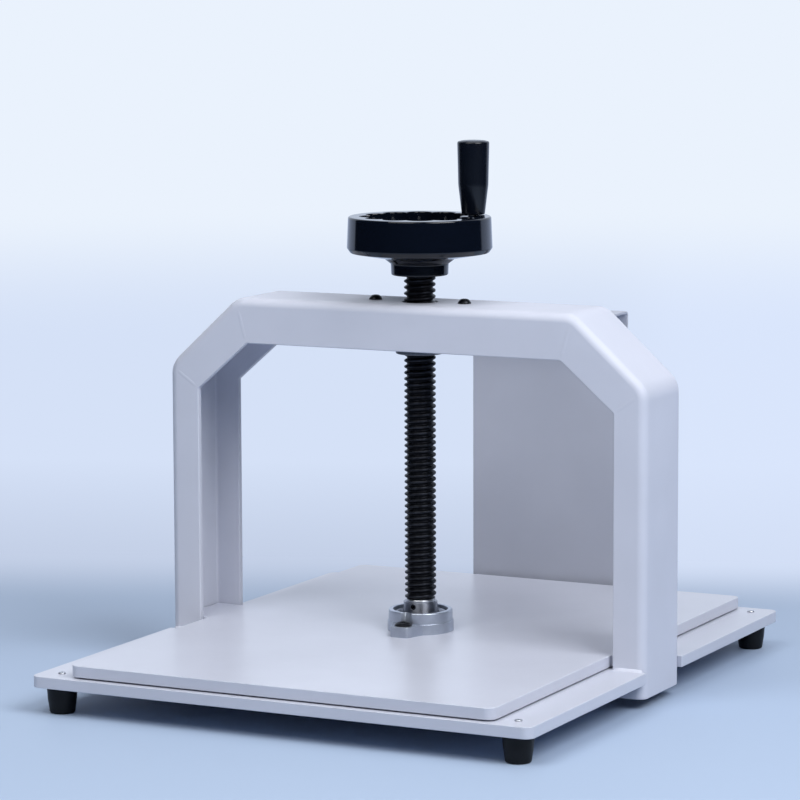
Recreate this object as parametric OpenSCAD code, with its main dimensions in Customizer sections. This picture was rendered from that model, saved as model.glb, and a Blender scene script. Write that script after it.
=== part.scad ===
// Screw press for flattening stacks of A3 paper: a base plate on rubber feet, a bent
// channel arch over it, and a platen that a hand-turned screw lifts and presses down.
// Millimetres, +Z up. The origin is on the floor, under the screw's axis.

/* [Plates] */
// Width of the platen, across the arch
platen_width = 320; // [300:1:360]
// Depth of the platen, front to back
platen_depth = 438; // [420:1:480]
// Thickness of the platen
platen_thickness = 8; // [6:0.5:12]
// Thickness of the base plate
base_thickness = 8; // [6:0.5:12]
// Strip of base plate in front of the platen and behind it
base_margin = 4.5; // [2:0.5:12]
// Corner radius of both plates, seen from above
plate_corner_r = 10; // [6:1:25]
// Gap between the closed plates at rest
rest_gap = 1; // [0.95:0.05:3]
// Side clearance of the platen to the flanges of the legs
platen_side_gap = 3; // [2:0.5:8]
// Clearance of the platen's guide tongues inside the legs
tongue_gap = 0.8; // [0.5:0.1:0.9]

/* [Feet] */
// Height of a rubber foot
foot_height = 19; // [14:0.5:30]
// Diameter of a foot at the base plate
foot_top_d = 21.5; // [18:0.5:26]
// Diameter of a foot at the floor
foot_bottom_d = 18; // [15:0.5:24]
// Distance of a foot's centre from the edges of the base plate
foot_inset = 16; // [14:0.5:20]
// Diameter of a foot screw's shank
foot_screw_d = 3; // [2.5:0.5:4]
// Diameter of a foot screw's head
foot_head_d = 5.8; // [5:0.1:7]
// Depth of the recess under a foot that holds the nut
foot_recess_h = 8; // [6:0.5:10]

/* [Arch] */
// Depth of the channel, front to back
arch_depth = 64; // [50:1:80]
// Thickness of the channel's sheet
arch_sheet = 4.5; // [3:0.5:6]
// Width of a leg, seen from the front
leg_width = 24; // [20:1:30]
// Height of the cross beam, seen from the front
beam_height = 32.5; // [30:0.5:40]
// Clear height from the base plate to the beam
opening_height = 212.5; // [190:0.5:260]
// Width of the slanted outer corner
corner_run = 55; // [48:1:60]
// Drop of the slanted outer corner
corner_drop = 50; // [44:1:56]
// Width of the slanted inner corner
inner_run = 40; // [34:1:46]
// Drop of the slanted inner corner
inner_drop = 34.5; // [30:0.5:40]
// Radius along the channel's outer edges
channel_edge_r = 5; // [4.5:0.5:7]
// Outer radius of the sheet's bends
bend_r = 18; // [8:1:22]
// Length of leg below the base plate
leg_drop = 11.5; // [4:0.5:13]
// Overhang of the base plate past the legs' outer faces
base_overhang = 1.5; // [0.5:0.5:4]

/* [Back panel] */
// Width of the back panel
panel_width = 129; // [110:1:200]
// Height of the back panel above the base plate's top
panel_rise = 219.5; // [120:0.5:240]
// Thickness of the panel's sheet
panel_sheet = 2; // [1:0.5:3]
// Depth of the lip folded forward at its top
panel_lip = 26; // [10:1:40]
// Distance between the panel's two screws
panel_screw_span = 96; // [50:1:100]
// Diameter of a panel screw's shank
panel_screw_d = 4; // [3:0.5:4]
// Length of a panel screw's shank
panel_screw_length = 12; // [8:1:16]

/* [Screw and nut] */
// Outer diameter of the screw's thread
screw_d = 22.2; // [20:0.1:26]
// Pitch of the thread
thread_pitch = 4.35; // [3:0.05:6]
// Depth of the thread
thread_depth = 2.4; // [1.5:0.1:2.6]
// Radial clearance of the thread in the nut
nut_gap = 0.3; // [0.2:0.05:0.6]
// Diameter of the nut's barrel
nut_barrel_d = 30.2; // [29:0.1:36]
// Length of the barrel below the beam's lower edge
nut_drop = 4.4; // [2:0.2:10]
// Length of the nut's flange, along the beam
nut_flange_length = 90; // [84:1:110]
// Width of the nut's flange
nut_flange_width = 42; // [36:1:48]
// Thickness of the nut's flange
nut_flange_h = 8; // [6:0.5:12]
// Distance between the nut's two screws
nut_screw_span = 70; // [60:1:74]
// Diameter of a nut screw's shank
nut_screw_d = 5; // [4:0.5:6]
// Clear hole for the screw in the beam
beam_hole_d = 25; // [24:0.5:28]

/* [Bearing] */
// Outer diameter of the housing's ring
housing_ring_d = 45.8; // [44:0.2:52]
// Height of the housing's ring above the platen
housing_h = 15.4; // [13:0.1:18]
// Height of the housing's bolted flange
housing_flange_h = 7.5; // [5:0.5:9]
// Step from the flange to the ring
housing_step = 0.7; // [0.2:0.1:1.5]
// Distance between the housing's bolts
bolt_span = 56; // [54:1:64]
// Width of a bolt ear at its tip
ear_width = 13.2; // [12:0.2:18]
// Width of a bolt ear where it leaves the flange
ear_root_width = 23.4; // [22:0.2:30]
// Radius of an ear's two tip corners
ear_r = 2; // [1:0.5:4]
// Diameter of the round pocket for a bolt's head
pocket_d = 13.6; // [12:0.2:14]
// Depth of the housing's mouth around the bearing
mouth_depth = 6; // [3:0.5:6.5]
// Metal beyond a bolt's centre at the tip of its ear
ear_reach = 7.5; // [6.5:0.5:10]
// Diameter of a bearing bolt's shank
bolt_d = 6; // [5:0.5:6.5]
// Thickness of the lip under the bearing
seat_lip_h = 2; // [1:0.5:4]
// Outer diameter of the bearing
race_d = 35; // [34:0.1:36]
// Width of the bearing's outer ring
race_h = 8.5; // [8:0.1:10]
// Diameter of the inner ring and its collar
collar_d = 24.3; // [24:0.1:25.4]
// Height of the collar above the housing
collar_rise = 5.3; // [4:0.1:12]
// Diameter of the screw's journal in the bearing
journal_d = 17; // [15:0.1:17.4]
// Diameter of a bearing ball
ball_d = 4.8; // [4.4:0.1:5]
// Number of balls
ball_count = 9; // [7:1:12]
// Diameter of a grub screw in the collar
grub_d = 4; // [3:0.5:5]

/* [Handwheel] */
// Largest diameter of the rim
wheel_d = 103; // [96:1:120]
// Taper of the rim from its largest diameter to its top
wheel_taper = 1.8; // [0:0.2:3]
// Height of the rim
rim_height = 28.5; // [24:0.5:36]
// Radius of the rim's lower edge
rim_low_r = 6; // [3:0.5:8]
// Radius of the rim's upper edge
rim_top_r = 1.5; // [1:0.5:3]
// Thickness of the rim's wall at the finger waves
rim_wall = 8.5; // [7:0.5:10]
// Number of finger waves inside the rim
wave_count = 10; // [8:1:24]
// Depth of the finger waves
wave_depth = 3; // [1:0.5:4]
// Turn of the finger waves about the wheel's axis, in degrees
wave_turn = 8.6; // [0:0.2:36]
// Thickness of the wheel's disc
disc_thickness = 8; // [6:0.5:12]
// Diameter of the hub below the disc
hub_d = 41; // [34:0.2:44]
// Height of the hub and its cone below the rim
hub_drop = 13; // [9:0.5:18]
// Height of the cone between the hub and the disc
cone_height = 5; // [3:0.5:7]
// Diameter of the cone at the disc
cone_d = 52; // [48:1:60]
// Height of the inner boss above the disc
boss_height = 6; // [3:0.5:8]
// Gap between the wheel's hub and the beam
wheel_clearance = 19; // [14:0.5:30]
// Outer diameter of the hub's steel bush
bush_d = 26; // [24:0.5:28]
// Bore of the hub
hub_bore_d = 16; // [14:0.1:17]
// Width and height of the square key
key_size = 5; // [4:0.5:5]
// Length of the key
key_length = 16; // [10:1:18]
// Diameter of the screw's top thread, for the cap nut
stud_d = 12; // [10:0.5:12]
// Width across the flats of the cap nut
cap_nut_flats = 18; // [16:1:20]
// Height of the cap nut
cap_nut_h = 7; // [6:0.5:7.5]

/* [Handle] */
// Distance of the handle from the wheel's axis
handle_radius = 40; // [38:0.5:41]
// Direction of the handle, from the right towards the back
handle_angle = 44; // [0:1:359]
// Length of the turning grip
grip_length = 51.7; // [44:0.1:70]
// Diameter of the grip at its foot
grip_foot_d = 16; // [15:0.2:17]
// Diameter of the grip at its shoulder
grip_shoulder_d = 20.8; // [19:0.2:23]
// Diameter of the grip at its top
grip_top_d = 22.8; // [21:0.2:25]
// Height of the grip's shoulder above its foot
grip_shoulder_h = 21; // [16:0.5:26]
// Diameter of the boss that carries the handle
handle_boss_d = 19; // [17:0.5:20]
// Diameter of the handle's bolt
handle_bolt_d = 8; // [6:0.5:9]
// Running clearance of the grip on its bolt
grip_gap = 0.1; // [0.05:0.01:0.1]

/* [Hidden] */
$fn = 64;
eps = 0.01;
// Clearance of a fixed pin, screw or ring in its seat
seat_gap = 0.05;
// Clearance of a bolt in a drilled hole
drill_gap = 0.3;
// Gap between parts that turn past each other
turn_gap = 0.35;

// Heights of the plates
base_bottom = foot_height;
base_top = base_bottom + base_thickness;
platen_bottom = base_top + rest_gap;
platen_top = platen_bottom + platen_thickness;

// Outline of the arch
leg_inner_x = platen_width / 2 + platen_side_gap;
leg_outer_x = leg_inner_x + leg_width;
beam_bottom = base_top + opening_height;
arch_top = beam_bottom + beam_height;
web_bottom = arch_top - arch_sheet;
leg_bottom = base_bottom - leg_drop;
channel_half = arch_depth / 2 - arch_sheet;
corner_low = arch_top - corner_drop;
corner_x = leg_outer_x - corner_run;
inner_low = beam_bottom - inner_drop;
inner_x = leg_inner_x - inner_run;
leg_bend = atan2(corner_run, corner_drop);
beam_bend = 90 - leg_bend;
leg_tangent = bend_r * tan(leg_bend / 2);
beam_tangent = bend_r * tan(beam_bend / 2);

// Ends of the mitred weld lines, carried past the metal on both sides
low_mitre = [leg_outer_x - leg_inner_x, corner_low - inner_low];
low_in = [leg_inner_x, inner_low] - low_mitre;
low_out = [leg_outer_x, corner_low] + low_mitre;
high_mitre = [corner_x - inner_x, arch_top - beam_bottom];
high_in = [inner_x, beam_bottom] - high_mitre;
high_out = [corner_x, arch_top] + high_mitre;

// Outline of the base plate, its feet and its screws
base_width = 2 * (leg_outer_x + base_overhang);
base_depth = platen_depth + 2 * base_margin;
foot_x = base_width / 2 - foot_inset;
foot_y = base_depth / 2 - foot_inset;
foot_places = [[-foot_x, -foot_y], [foot_x, -foot_y], [-foot_x, foot_y], [foot_x, foot_y]];
foot_waist_d = (2 * foot_top_d + foot_bottom_d) / 3;
foot_edge = 1.2;
foot_recess_d = 10;
foot_head_h = 1.3;
foot_washer_d = 9;
foot_washer_h = 1;
foot_nut_flats = 5.5;
foot_nut_h = 2.4;
foot_screw_end = foot_recess_h - foot_washer_h - foot_nut_h - 1;

// Back panel
panel_front = base_depth / 2;
panel_back = panel_front + panel_sheet;
panel_top = base_top + panel_rise;
panel_screw_z = base_bottom + base_thickness / 2;
panel_bend_r = panel_sheet + 1.5;
panel_head_d = 2 * panel_screw_d;
panel_head_h = 2.4;

// Bearing, on the platen
ring_r = housing_ring_d / 2;
flange_r = ring_r + housing_step;
flange_top = platen_top + housing_flange_h;
ring_top = platen_top + housing_h;
seat_bottom = platen_top + seat_lip_h;
race_r = race_d / 2;
race_top = seat_bottom + race_h;
race_middle = seat_bottom + race_h / 2;
collar_r = collar_d / 2;
collar_top = ring_top + collar_rise;
race_inner_r = collar_r + 2.15;
ball_circle_r = (collar_r + race_inner_r) / 2 + 0.2;
lip_r = race_inner_r + 0.3;
mouth_r = ring_r - 2.9;
shield_h = 0.7;
shield_inset = 0.3;
cage_h = ball_d + 0.9;
grub_z = (ring_top + collar_top) / 2;
grub_angles = [-90, 30];
grub_sink = 0.4;
bolt_head_d = 1.8 * bolt_d;
bolt_head_h = 3.2;

// Handwheel, from the hub upwards
hub_bottom = arch_top + wheel_clearance;
rim_bottom = hub_bottom + hub_drop;
rim_top = rim_bottom + rim_height;
disc_top = rim_bottom + disc_thickness;
boss_top = disc_top + boss_height;
wheel_r = wheel_d / 2;
rim_top_outer_r = wheel_r - wheel_taper / 2;
rim_inner_r = rim_top_outer_r - rim_wall;
wave_half = 0.93 * 180 / wave_count;
wave_chord = rim_inner_r * sin(wave_half);
wave_sag = rim_inner_r * (1 - cos(wave_half)) + wave_depth;
wave_r = (pow(wave_chord, 2) + pow(wave_sag, 2)) / (2 * wave_sag);
boss_r = bush_d / 2 + 4;
hub_edge = 1;
wheel_washer_h = 2;
wheel_washer_d = bush_d;
cap_nut_bottom = boss_top + wheel_washer_h;
cap_nut_top = cap_nut_bottom + cap_nut_h;

// Screw, from the bearing up to the cap nut
screw_r = screw_d / 2;
root_r = screw_r - thread_depth;
journal_r = journal_d / 2 - seat_gap;
screw_bottom = seat_bottom - 1;
plain_r = root_r + thread_depth / 2;
thread_bottom = collar_top + 2;
hub_r = hub_bore_d / 2;
stud_top = cap_nut_top + 1;
turn_count = floor((hub_bottom - thread_bottom) / thread_pitch);
crest_width = 0.3 * thread_pitch;
flank_width = 0.22 * thread_pitch;
key_z = hub_bottom + 3;
key_low_r = hub_r - key_size / 2;

// Nut and its screws
nut_bottom = beam_bottom - nut_drop;
nut_flange_bottom = web_bottom - nut_flange_h;
nut_bore_r = screw_r + nut_gap;
nut_head_d = 1.9 * nut_screw_d;
nut_head_h = 0.55 * nut_screw_d;

// Handle
handle_x = handle_radius * cos(handle_angle);
handle_y = handle_radius * sin(handle_angle);
handle_boss_top = rim_top - 0.5;
grip_foot = rim_top + 0.4;
grip_top = grip_foot + grip_length;
bolt_shoulder_r = handle_bolt_d / 2;
bolt_stud_r = bolt_shoulder_r - 1;
bolt_stud_bottom = disc_top;
bolt_head_r = bolt_shoulder_r + 2.5;
bolt_head_bottom = grip_top - 12;
bolt_head_top = bolt_head_bottom + 5;
cap_h = 3;
cap_r = grip_top_d / 2 - 1.8;
cap_dome = 0.9;
grip_recess_r = bolt_head_r + 1;

// Colours
paint = "#bfc4d4";
black = "#16181d";
rubber = "#1d1e20";
steel = "#b9bdc4";
zinc_alloy = "#a9afba";
iron = "#4a4d52";
brass = "#c8a45a";

// Rectangle with round corners, centred
module round_rect(width, depth, r) {
  square([width - 2 * r, depth], center = true);
  square([width, depth - 2 * r], center = true);
  for (x = [-1, 1], y = [-1, 1])
    translate([x * (width / 2 - r), y * (depth / 2 - r)]) circle(r);
}

// Ring standing on z = 0
module ring(outer_r, inner_r, height) {
  difference() {
    cylinder(r = outer_r, h = height);
    translate([0, 0, -1]) cylinder(r = inner_r, h = height + 2);
  }
}

// Six-sided prism standing on z = 0, sized across its flats
module hexagon(flats, height) {
  rotate([0, 0, 30]) cylinder(d = flats / cos(30), h = height, $fn = 6);
}

// Domed screw with a hexagon socket: its seat is z = 0, its shank hangs below
module button_screw(head_d, head_h, shank_d, length) {
  dome_r = (pow(head_d / 2, 2) + pow(head_h, 2)) / (2 * head_h);
  socket = 0.6 * shank_d;
  difference() {
    intersection() {
      cylinder(d = head_d, h = head_h);
      translate([0, 0, head_h - dome_r]) sphere(dome_r);
    }
    translate([0, 0, 0.45 * head_h]) hexagon(socket, head_h);
  }
  translate([0, 0, -length]) cylinder(d = shank_d, h = length + eps);
}

// Low round-headed screw with a cross slot: its seat is z = 0, its shank hangs below
module pan_screw(head_d, head_h, shank_d, length) {
  slot = head_d / 7;
  difference() {
    cylinder(d = head_d, h = head_h);
    for (turn = [0, 90])
      rotate([0, 0, turn]) translate([0, 0, head_h])
        cube([0.6 * head_d, slot, head_h], center = true);
  }
  translate([0, 0, -length]) cylinder(d = shank_d, h = length + eps);
}

// Base plate: corner holes for the feet, side notches for the legs
module base_plate() {
  color(paint) difference() {
    translate([0, 0, base_bottom]) linear_extrude(base_thickness) difference() {
      round_rect(base_width, base_depth, plate_corner_r);
      for (place = foot_places) translate(place) circle(d = foot_screw_d + 2 * drill_gap);
      for (side = [-1, 1])
        translate([side * leg_outer_x, 0]) square([2 * leg_width, arch_depth], center = true);
    }
    for (side = [-1, 1])
      translate([side * panel_screw_span / 2, panel_front + 1, panel_screw_z])
        rotate([90, 0, 0])
          cylinder(d = panel_screw_d + 2 * seat_gap, h = panel_screw_length + 2);
  }
}

// Tapered rubber foot with a recess for the nut
module foot(place) {
  top_r = foot_top_d / 2;
  waist_r = foot_waist_d / 2;
  bottom_r = foot_bottom_d / 2;
  color(rubber) translate(place) difference() {
    rotate_extrude() polygon([
      [0, 0], [bottom_r - foot_edge, 0], [bottom_r, foot_edge],
      [waist_r + 0.4, foot_height / 2], [top_r, foot_height], [0, foot_height]
    ]);
    translate([0, 0, -1]) cylinder(d = foot_recess_d, h = foot_recess_h + 1);
    cylinder(d = foot_screw_d + 2 * drill_gap, h = foot_height + 1);
  }
}

module foot_front_left() { foot(foot_places[0]); }
module foot_front_right() { foot(foot_places[1]); }
module foot_back_left() { foot(foot_places[2]); }
module foot_back_right() { foot(foot_places[3]); }

module foot_screws() {
  color(steel) for (place = foot_places)
    translate([place[0], place[1], base_top])
      pan_screw(foot_head_d, foot_head_h, foot_screw_d, base_top - foot_screw_end);
}

module foot_washers() {
  color(steel) for (place = foot_places)
    translate([place[0], place[1], foot_recess_h - foot_washer_h])
      ring(foot_washer_d / 2, foot_screw_d / 2 + drill_gap, foot_washer_h);
}

module foot_nuts() {
  color(steel) for (place = foot_places)
    translate([place[0], place[1], foot_recess_h - foot_washer_h - foot_nut_h])
      difference() {
        hexagon(foot_nut_flats, foot_nut_h);
        translate([0, 0, -1])
          cylinder(d = foot_screw_d + 2 * seat_gap, h = foot_nut_h + 2);
      }
}

// Outline of the arch seen from the front, moved inwards from its outer face
module arch_outline(inset, low) {
  r = bend_r - inset;
  slope = [cos(leg_bend), sin(leg_bend)];
  low_bend = [leg_outer_x - bend_r, corner_low - leg_tangent];
  high_bend = [corner_x - beam_tangent, arch_top - bend_r];
  for (side = [0, 1]) mirror([side, 0]) {
    polygon([
      [-eps, low], [leg_outer_x - inset, low], low_bend + [r, 0], low_bend + r * slope,
      high_bend + r * slope, high_bend + [0, r], [-eps, arch_top - inset]
    ]);
    translate(low_bend) circle(r);
    translate(high_bend) circle(r);
  }
}

// Long bar along Z with its face at x = 0 and the two edges of that face rounded
module edge_bar() {
  length = 4 * (leg_outer_x + arch_top);
  translate([-length / 2, 0, 0]) linear_extrude(length, center = true)
    round_rect(length, arch_depth, channel_edge_r);
}

// Solid that the arch is cut from: its outline in full depth, with rounded outer edges
module arch_blank() {
  intersection() {
    rotate([90, 0, 0]) linear_extrude(arch_depth, center = true) arch_outline(0, leg_bottom);
    translate([leg_outer_x, 0, 0]) edge_bar();
    translate([-leg_outer_x, 0, 0]) rotate([0, 0, 180]) edge_bar();
    translate([leg_outer_x, 0, corner_low]) rotate([0, -leg_bend, 0]) edge_bar();
    translate([-leg_outer_x, 0, corner_low]) rotate([0, -leg_bend, 180]) edge_bar();
    translate([0, 0, arch_top]) rotate([0, -90, 0]) edge_bar();
  }
}

// Channel arch in one piece: its flanges end at the inner outline, its web is drilled
module arch() {
  color(paint) difference() {
    arch_blank();
    rotate([90, 0, 0]) linear_extrude(2 * channel_half, center = true)
      arch_outline(arch_sheet, leg_bottom - 1);
    rotate([90, 0, 0]) linear_extrude(2 * arch_depth, center = true) polygon([
      [-leg_inner_x, leg_bottom - 1], [leg_inner_x, leg_bottom - 1],
      [leg_inner_x, inner_low], [inner_x, beam_bottom],
      [-inner_x, beam_bottom], [-leg_inner_x, inner_low]
    ]);
    translate([0, 0, web_bottom - 1]) cylinder(d = beam_hole_d, h = arch_sheet + 2);
    for (side = [-1, 1]) translate([side * nut_screw_span / 2, 0, web_bottom - 1])
      cylinder(d = nut_screw_d + 2 * drill_gap, h = arch_sheet + 2);
  }
}

// Part of the arch inside an outline seen from the front, up to the mitred welds
module arch_section(outline) {
  intersection() {
    arch();
    rotate([90, 0, 0]) linear_extrude(2 * arch_depth, center = true) polygon(outline);
  }
}

module arch_leg_right() {
  arch_section([[low_in[0], 0], [low_out[0], 0], low_out, low_in]);
}

module arch_leg_left() {
  mirror([1, 0, 0]) arch_leg_right();
}

module arch_corner_right() {
  arch_section([low_in, low_out, [low_out[0], high_out[1]], high_out, high_in]);
}

module arch_corner_left() {
  mirror([1, 0, 0]) arch_corner_right();
}

module arch_beam() {
  arch_section([high_in, high_out, [-high_out[0], high_out[1]], [-high_in[0], high_in[1]]]);
}

// Flanged nut under the beam's web, with a plain bore that clears the thread
module spindle_nut() {
  color(iron) difference() {
    union() {
      translate([0, 0, nut_bottom])
        cylinder(d = nut_barrel_d, h = nut_flange_bottom - nut_bottom + 1);
      translate([0, 0, nut_flange_bottom]) linear_extrude(nut_flange_h)
        round_rect(nut_flange_length, nut_flange_width, 4);
    }
    translate([0, 0, nut_bottom - 1]) cylinder(r = nut_bore_r, h = web_bottom - nut_bottom + 2);
    for (side = [-1, 1]) translate([side * nut_screw_span / 2, 0, nut_flange_bottom - 1])
      cylinder(d = nut_screw_d + 2 * seat_gap, h = nut_flange_h + 2);
  }
}

module nut_screws() {
  color(black) for (side = [-1, 1])
    translate([side * nut_screw_span / 2, 0, arch_top])
      button_screw(nut_head_d, nut_head_h, nut_screw_d, arch_sheet + nut_flange_h - 1);
}

// Sheet panel on the base plate's back edge, with a lip folded forward at its top
module back_panel() {
  color(paint) difference() {
    rotate([90, 0, 90]) linear_extrude(panel_width, center = true) {
      translate([panel_front, base_bottom])
        square([panel_sheet, panel_top - panel_bend_r - base_bottom]);
      translate([panel_back - panel_lip, panel_top - panel_sheet])
        square([panel_lip - panel_bend_r, panel_sheet]);
      translate([panel_back - panel_bend_r, panel_top - panel_bend_r]) intersection() {
        difference() {
          circle(panel_bend_r);
          circle(panel_bend_r - panel_sheet);
        }
        square(panel_bend_r);
      }
    }
    for (side = [-1, 1])
      translate([side * panel_screw_span / 2, panel_back + 1, panel_screw_z])
        rotate([90, 0, 0])
          cylinder(d = panel_screw_d + 2 * drill_gap, h = panel_sheet + 2);
  }
}

module panel_screws() {
  color(steel) for (side = [-1, 1])
    translate([side * panel_screw_span / 2, panel_back, panel_screw_z])
      rotate([-90, 0, 0])
        pan_screw(panel_head_d, panel_head_h, panel_screw_d, panel_sheet + panel_screw_length);
}

// Platen: its side tongues run inside the channel legs and keep it from turning
module platen() {
  tongue_x = leg_outer_x - arch_sheet - tongue_gap;
  color(paint) translate([0, 0, platen_bottom]) linear_extrude(platen_thickness) difference() {
    union() {
      round_rect(platen_width, platen_depth, plate_corner_r);
      square([2 * tongue_x, 2 * (channel_half - tongue_gap)], center = true);
    }
    for (side = [-1, 1]) translate([0, side * bolt_span / 2])
      circle(d = bolt_d + 2 * seat_gap);
  }
}

// Outline of both bolt ears: each one narrows to a tip with two round corners
module ear_outline(reach) {
  root = [ear_root_width / 2, sqrt(pow(flange_r, 2) - pow(ear_root_width / 2, 2))];
  slope = [ear_width / 2, reach] - root;
  along = slope / norm(slope);
  inwards = [-along[1], along[0]];
  run = (reach - ear_r - root[1] - ear_r * inwards[1]) / along[1];
  centre = root + run * along + ear_r * inwards;
  touch = centre - ear_r * inwards;
  for (end = [0, 180]) rotate(end) {
    polygon([
      [-root[0], 0], [root[0], 0], root, touch, [centre[0], reach], [-centre[0], reach],
      [-touch[0], touch[1]], [-root[0], root[1]]
    ]);
    for (side = [-1, 1]) translate([side * centre[0], centre[1]]) circle(ear_r);
  }
}

// Two-bolt bearing housing with a wide mouth
module bearing_housing() {
  color(zinc_alloy) difference() {
    union() {
      translate([0, 0, platen_top]) linear_extrude(housing_flange_h) {
        circle(flange_r);
        ear_outline(bolt_span / 2 + ear_reach);
      }
      translate([0, 0, platen_top]) cylinder(r = ring_r, h = housing_h);
    }
    translate([0, 0, platen_top - 1]) cylinder(r = lip_r, h = housing_h + 2);
    translate([0, 0, seat_bottom]) cylinder(r = race_r + seat_gap, h = housing_h);
    translate([0, 0, ring_top - mouth_depth]) cylinder(r = mouth_r, h = mouth_depth + 1);
    for (side = [-1, 1]) translate([0, side * bolt_span / 2, platen_top - 1])
      cylinder(d = bolt_d + 2 * drill_gap, h = housing_flange_h + 2);
    for (side = [-1, 1]) translate([0, side * bolt_span / 2, flange_top])
      cylinder(d = pocket_d, h = housing_h);
  }
}

module bearing_bolts() {
  color(black) for (side = [-1, 1])
    translate([0, side * bolt_span / 2, flange_top])
      button_screw(bolt_head_d, bolt_head_h, bolt_d,
                   housing_flange_h + platen_thickness - 1);
}

// Groove that the balls run in, as a ring to cut away
module ball_track(gap) {
  translate([0, 0, race_middle]) rotate_extrude()
    translate([ball_circle_r, 0]) circle(ball_d / 2 + gap);
}

module bearing_outer_ring() {
  color(steel) difference() {
    translate([0, 0, seat_bottom]) ring(race_r, race_inner_r, race_h);
    ball_track(2 * seat_gap);
  }
}

// Balls placed around the bearing, with room to spare where they are cut away
module balls(gap) {
  for (i = [0 : ball_count - 1])
    rotate([0, 0, 360 * i / ball_count]) translate([ball_circle_r, 0, race_middle])
      sphere(ball_d / 2 + gap);
}

module bearing_balls() {
  color(steel) balls(0);
}

module bearing_cage() {
  color(brass) difference() {
    translate([0, 0, race_middle - cage_h / 2])
      ring(race_inner_r - turn_gap, collar_r + turn_gap, cage_h);
    balls(2 * seat_gap);
  }
}

module bearing_shields() {
  color(steel)
    for (z = [seat_bottom + shield_inset, race_top - shield_inset - shield_h])
      translate([0, 0, z]) ring(race_inner_r - seat_gap, collar_r + turn_gap, shield_h);
}

// Inner ring with a long collar, drilled for two grub screws
module bearing_inner_ring() {
  color(steel) difference() {
    translate([0, 0, seat_bottom]) ring(collar_r, journal_d / 2, collar_top - seat_bottom);
    ball_track(turn_gap);
    for (angle = grub_angles) translate([0, 0, grub_z]) rotate([0, 90, angle])
      cylinder(d = grub_d + 2 * seat_gap, h = collar_d);
  }
}

module grub_screws() {
  length = collar_r - grub_sink - journal_d / 2;
  color(black) for (angle = grub_angles)
    translate([0, 0, grub_z]) rotate([0, 90, angle]) translate([0, 0, journal_d / 2])
      difference() {
        cylinder(d = grub_d, h = length);
        translate([0, 0, length / 2]) hexagon(grub_d / 2, length);
      }
}

// Screw: journal, plain neck, thread drawn as ring grooves, wheel seat and stud
module screw_spindle() {
  thread = [
    for (i = [0 : turn_count - 1])
      let (z = thread_bottom + i * thread_pitch)
      each [
        [root_r, z],
        [root_r, z + thread_pitch - crest_width - 2 * flank_width],
        [screw_r, z + thread_pitch - crest_width - flank_width],
        [screw_r, z + thread_pitch - flank_width]
      ]
  ];
  color(black) difference() {
    rotate_extrude() polygon(concat(
      [[0, screw_bottom], [journal_r, screw_bottom], [journal_r, collar_top],
       [plain_r, collar_top], [plain_r, thread_bottom]],
      thread,
      [[root_r, hub_bottom], [hub_r, hub_bottom], [hub_r, boss_top],
       [stud_d / 2, boss_top], [stud_d / 2, stud_top], [0, stud_top]]
    ));
    translate([key_low_r, -key_size / 2, key_z]) cube([key_size, key_size, key_length]);
  }
}

// Half of the wheel's section before its dish is cut, with round rim edges
module wheel_section() {
  polygon([
    [0, hub_bottom], [hub_d / 2 - hub_edge, hub_bottom], [hub_d / 2, hub_bottom + hub_edge],
    [hub_d / 2, rim_bottom - cone_height], [cone_d / 2, rim_bottom],
    [wheel_r - rim_low_r, rim_bottom], [wheel_r, rim_bottom + rim_low_r],
    [rim_top_outer_r, rim_top - rim_top_r], [rim_top_outer_r - rim_top_r, rim_top], [0, rim_top]
  ]);
  translate([wheel_r - rim_low_r, rim_bottom + rim_low_r]) circle(rim_low_r);
  translate([rim_top_outer_r - rim_top_r, rim_top - rim_top_r]) circle(rim_top_r);
}

// Outline of the wheel's dish, seen from above, with its finger waves
module dish_outline() {
  circle(rim_inner_r);
  for (i = [0 : wave_count - 1])
    rotate(wave_turn + 360 * i / wave_count)
      translate([rim_inner_r + wave_depth - wave_r, 0]) circle(wave_r);
}

// Dished handwheel with a hub, an inner boss, and a boss for the handle
module handwheel() {
  color(black) difference() {
    union() {
      difference() {
        rotate_extrude() wheel_section();
        translate([0, 0, disc_top]) linear_extrude(rim_height) dish_outline();
      }
      cylinder_between(boss_r, disc_top - 1, boss_top);
      translate([handle_x, handle_y, 0])
        cylinder_between(handle_boss_d / 2, disc_top - 1, handle_boss_top);
    }
    cylinder_between(bush_d / 2 + seat_gap, hub_bottom - 1, boss_top + 1);
    translate([handle_x, handle_y, 0])
      cylinder_between(bolt_stud_r + seat_gap, bolt_stud_bottom, rim_top + 1);
  }
}

// Cylinder on the Z axis from one height to another
module cylinder_between(r, low, high) {
  translate([0, 0, low]) cylinder(r = r, h = high - low);
}

module hub_bush() {
  color(steel) difference() {
    translate([0, 0, hub_bottom]) ring(bush_d / 2, hub_r + seat_gap, boss_top - hub_bottom);
    translate([0, -key_size / 2 - seat_gap, hub_bottom - 1])
      cube([hub_r + key_size / 2 + drill_gap, key_size + 2 * seat_gap,
            boss_top - hub_bottom + 2]);
  }
}

module wheel_key() {
  color(steel) translate([key_low_r, -key_size / 2, key_z])
    cube([key_size, key_size, key_length]);
}

module wheel_washer() {
  color(steel) translate([0, 0, boss_top])
    ring(wheel_washer_d / 2, stud_d / 2 + drill_gap, wheel_washer_h);
}

module wheel_cap_nut() {
  color(steel) translate([0, 0, cap_nut_bottom]) difference() {
    hexagon(cap_nut_flats, cap_nut_h);
    translate([0, 0, -1]) cylinder(d = stud_d + 2 * seat_gap, h = cap_nut_h + 2);
  }
}

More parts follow.
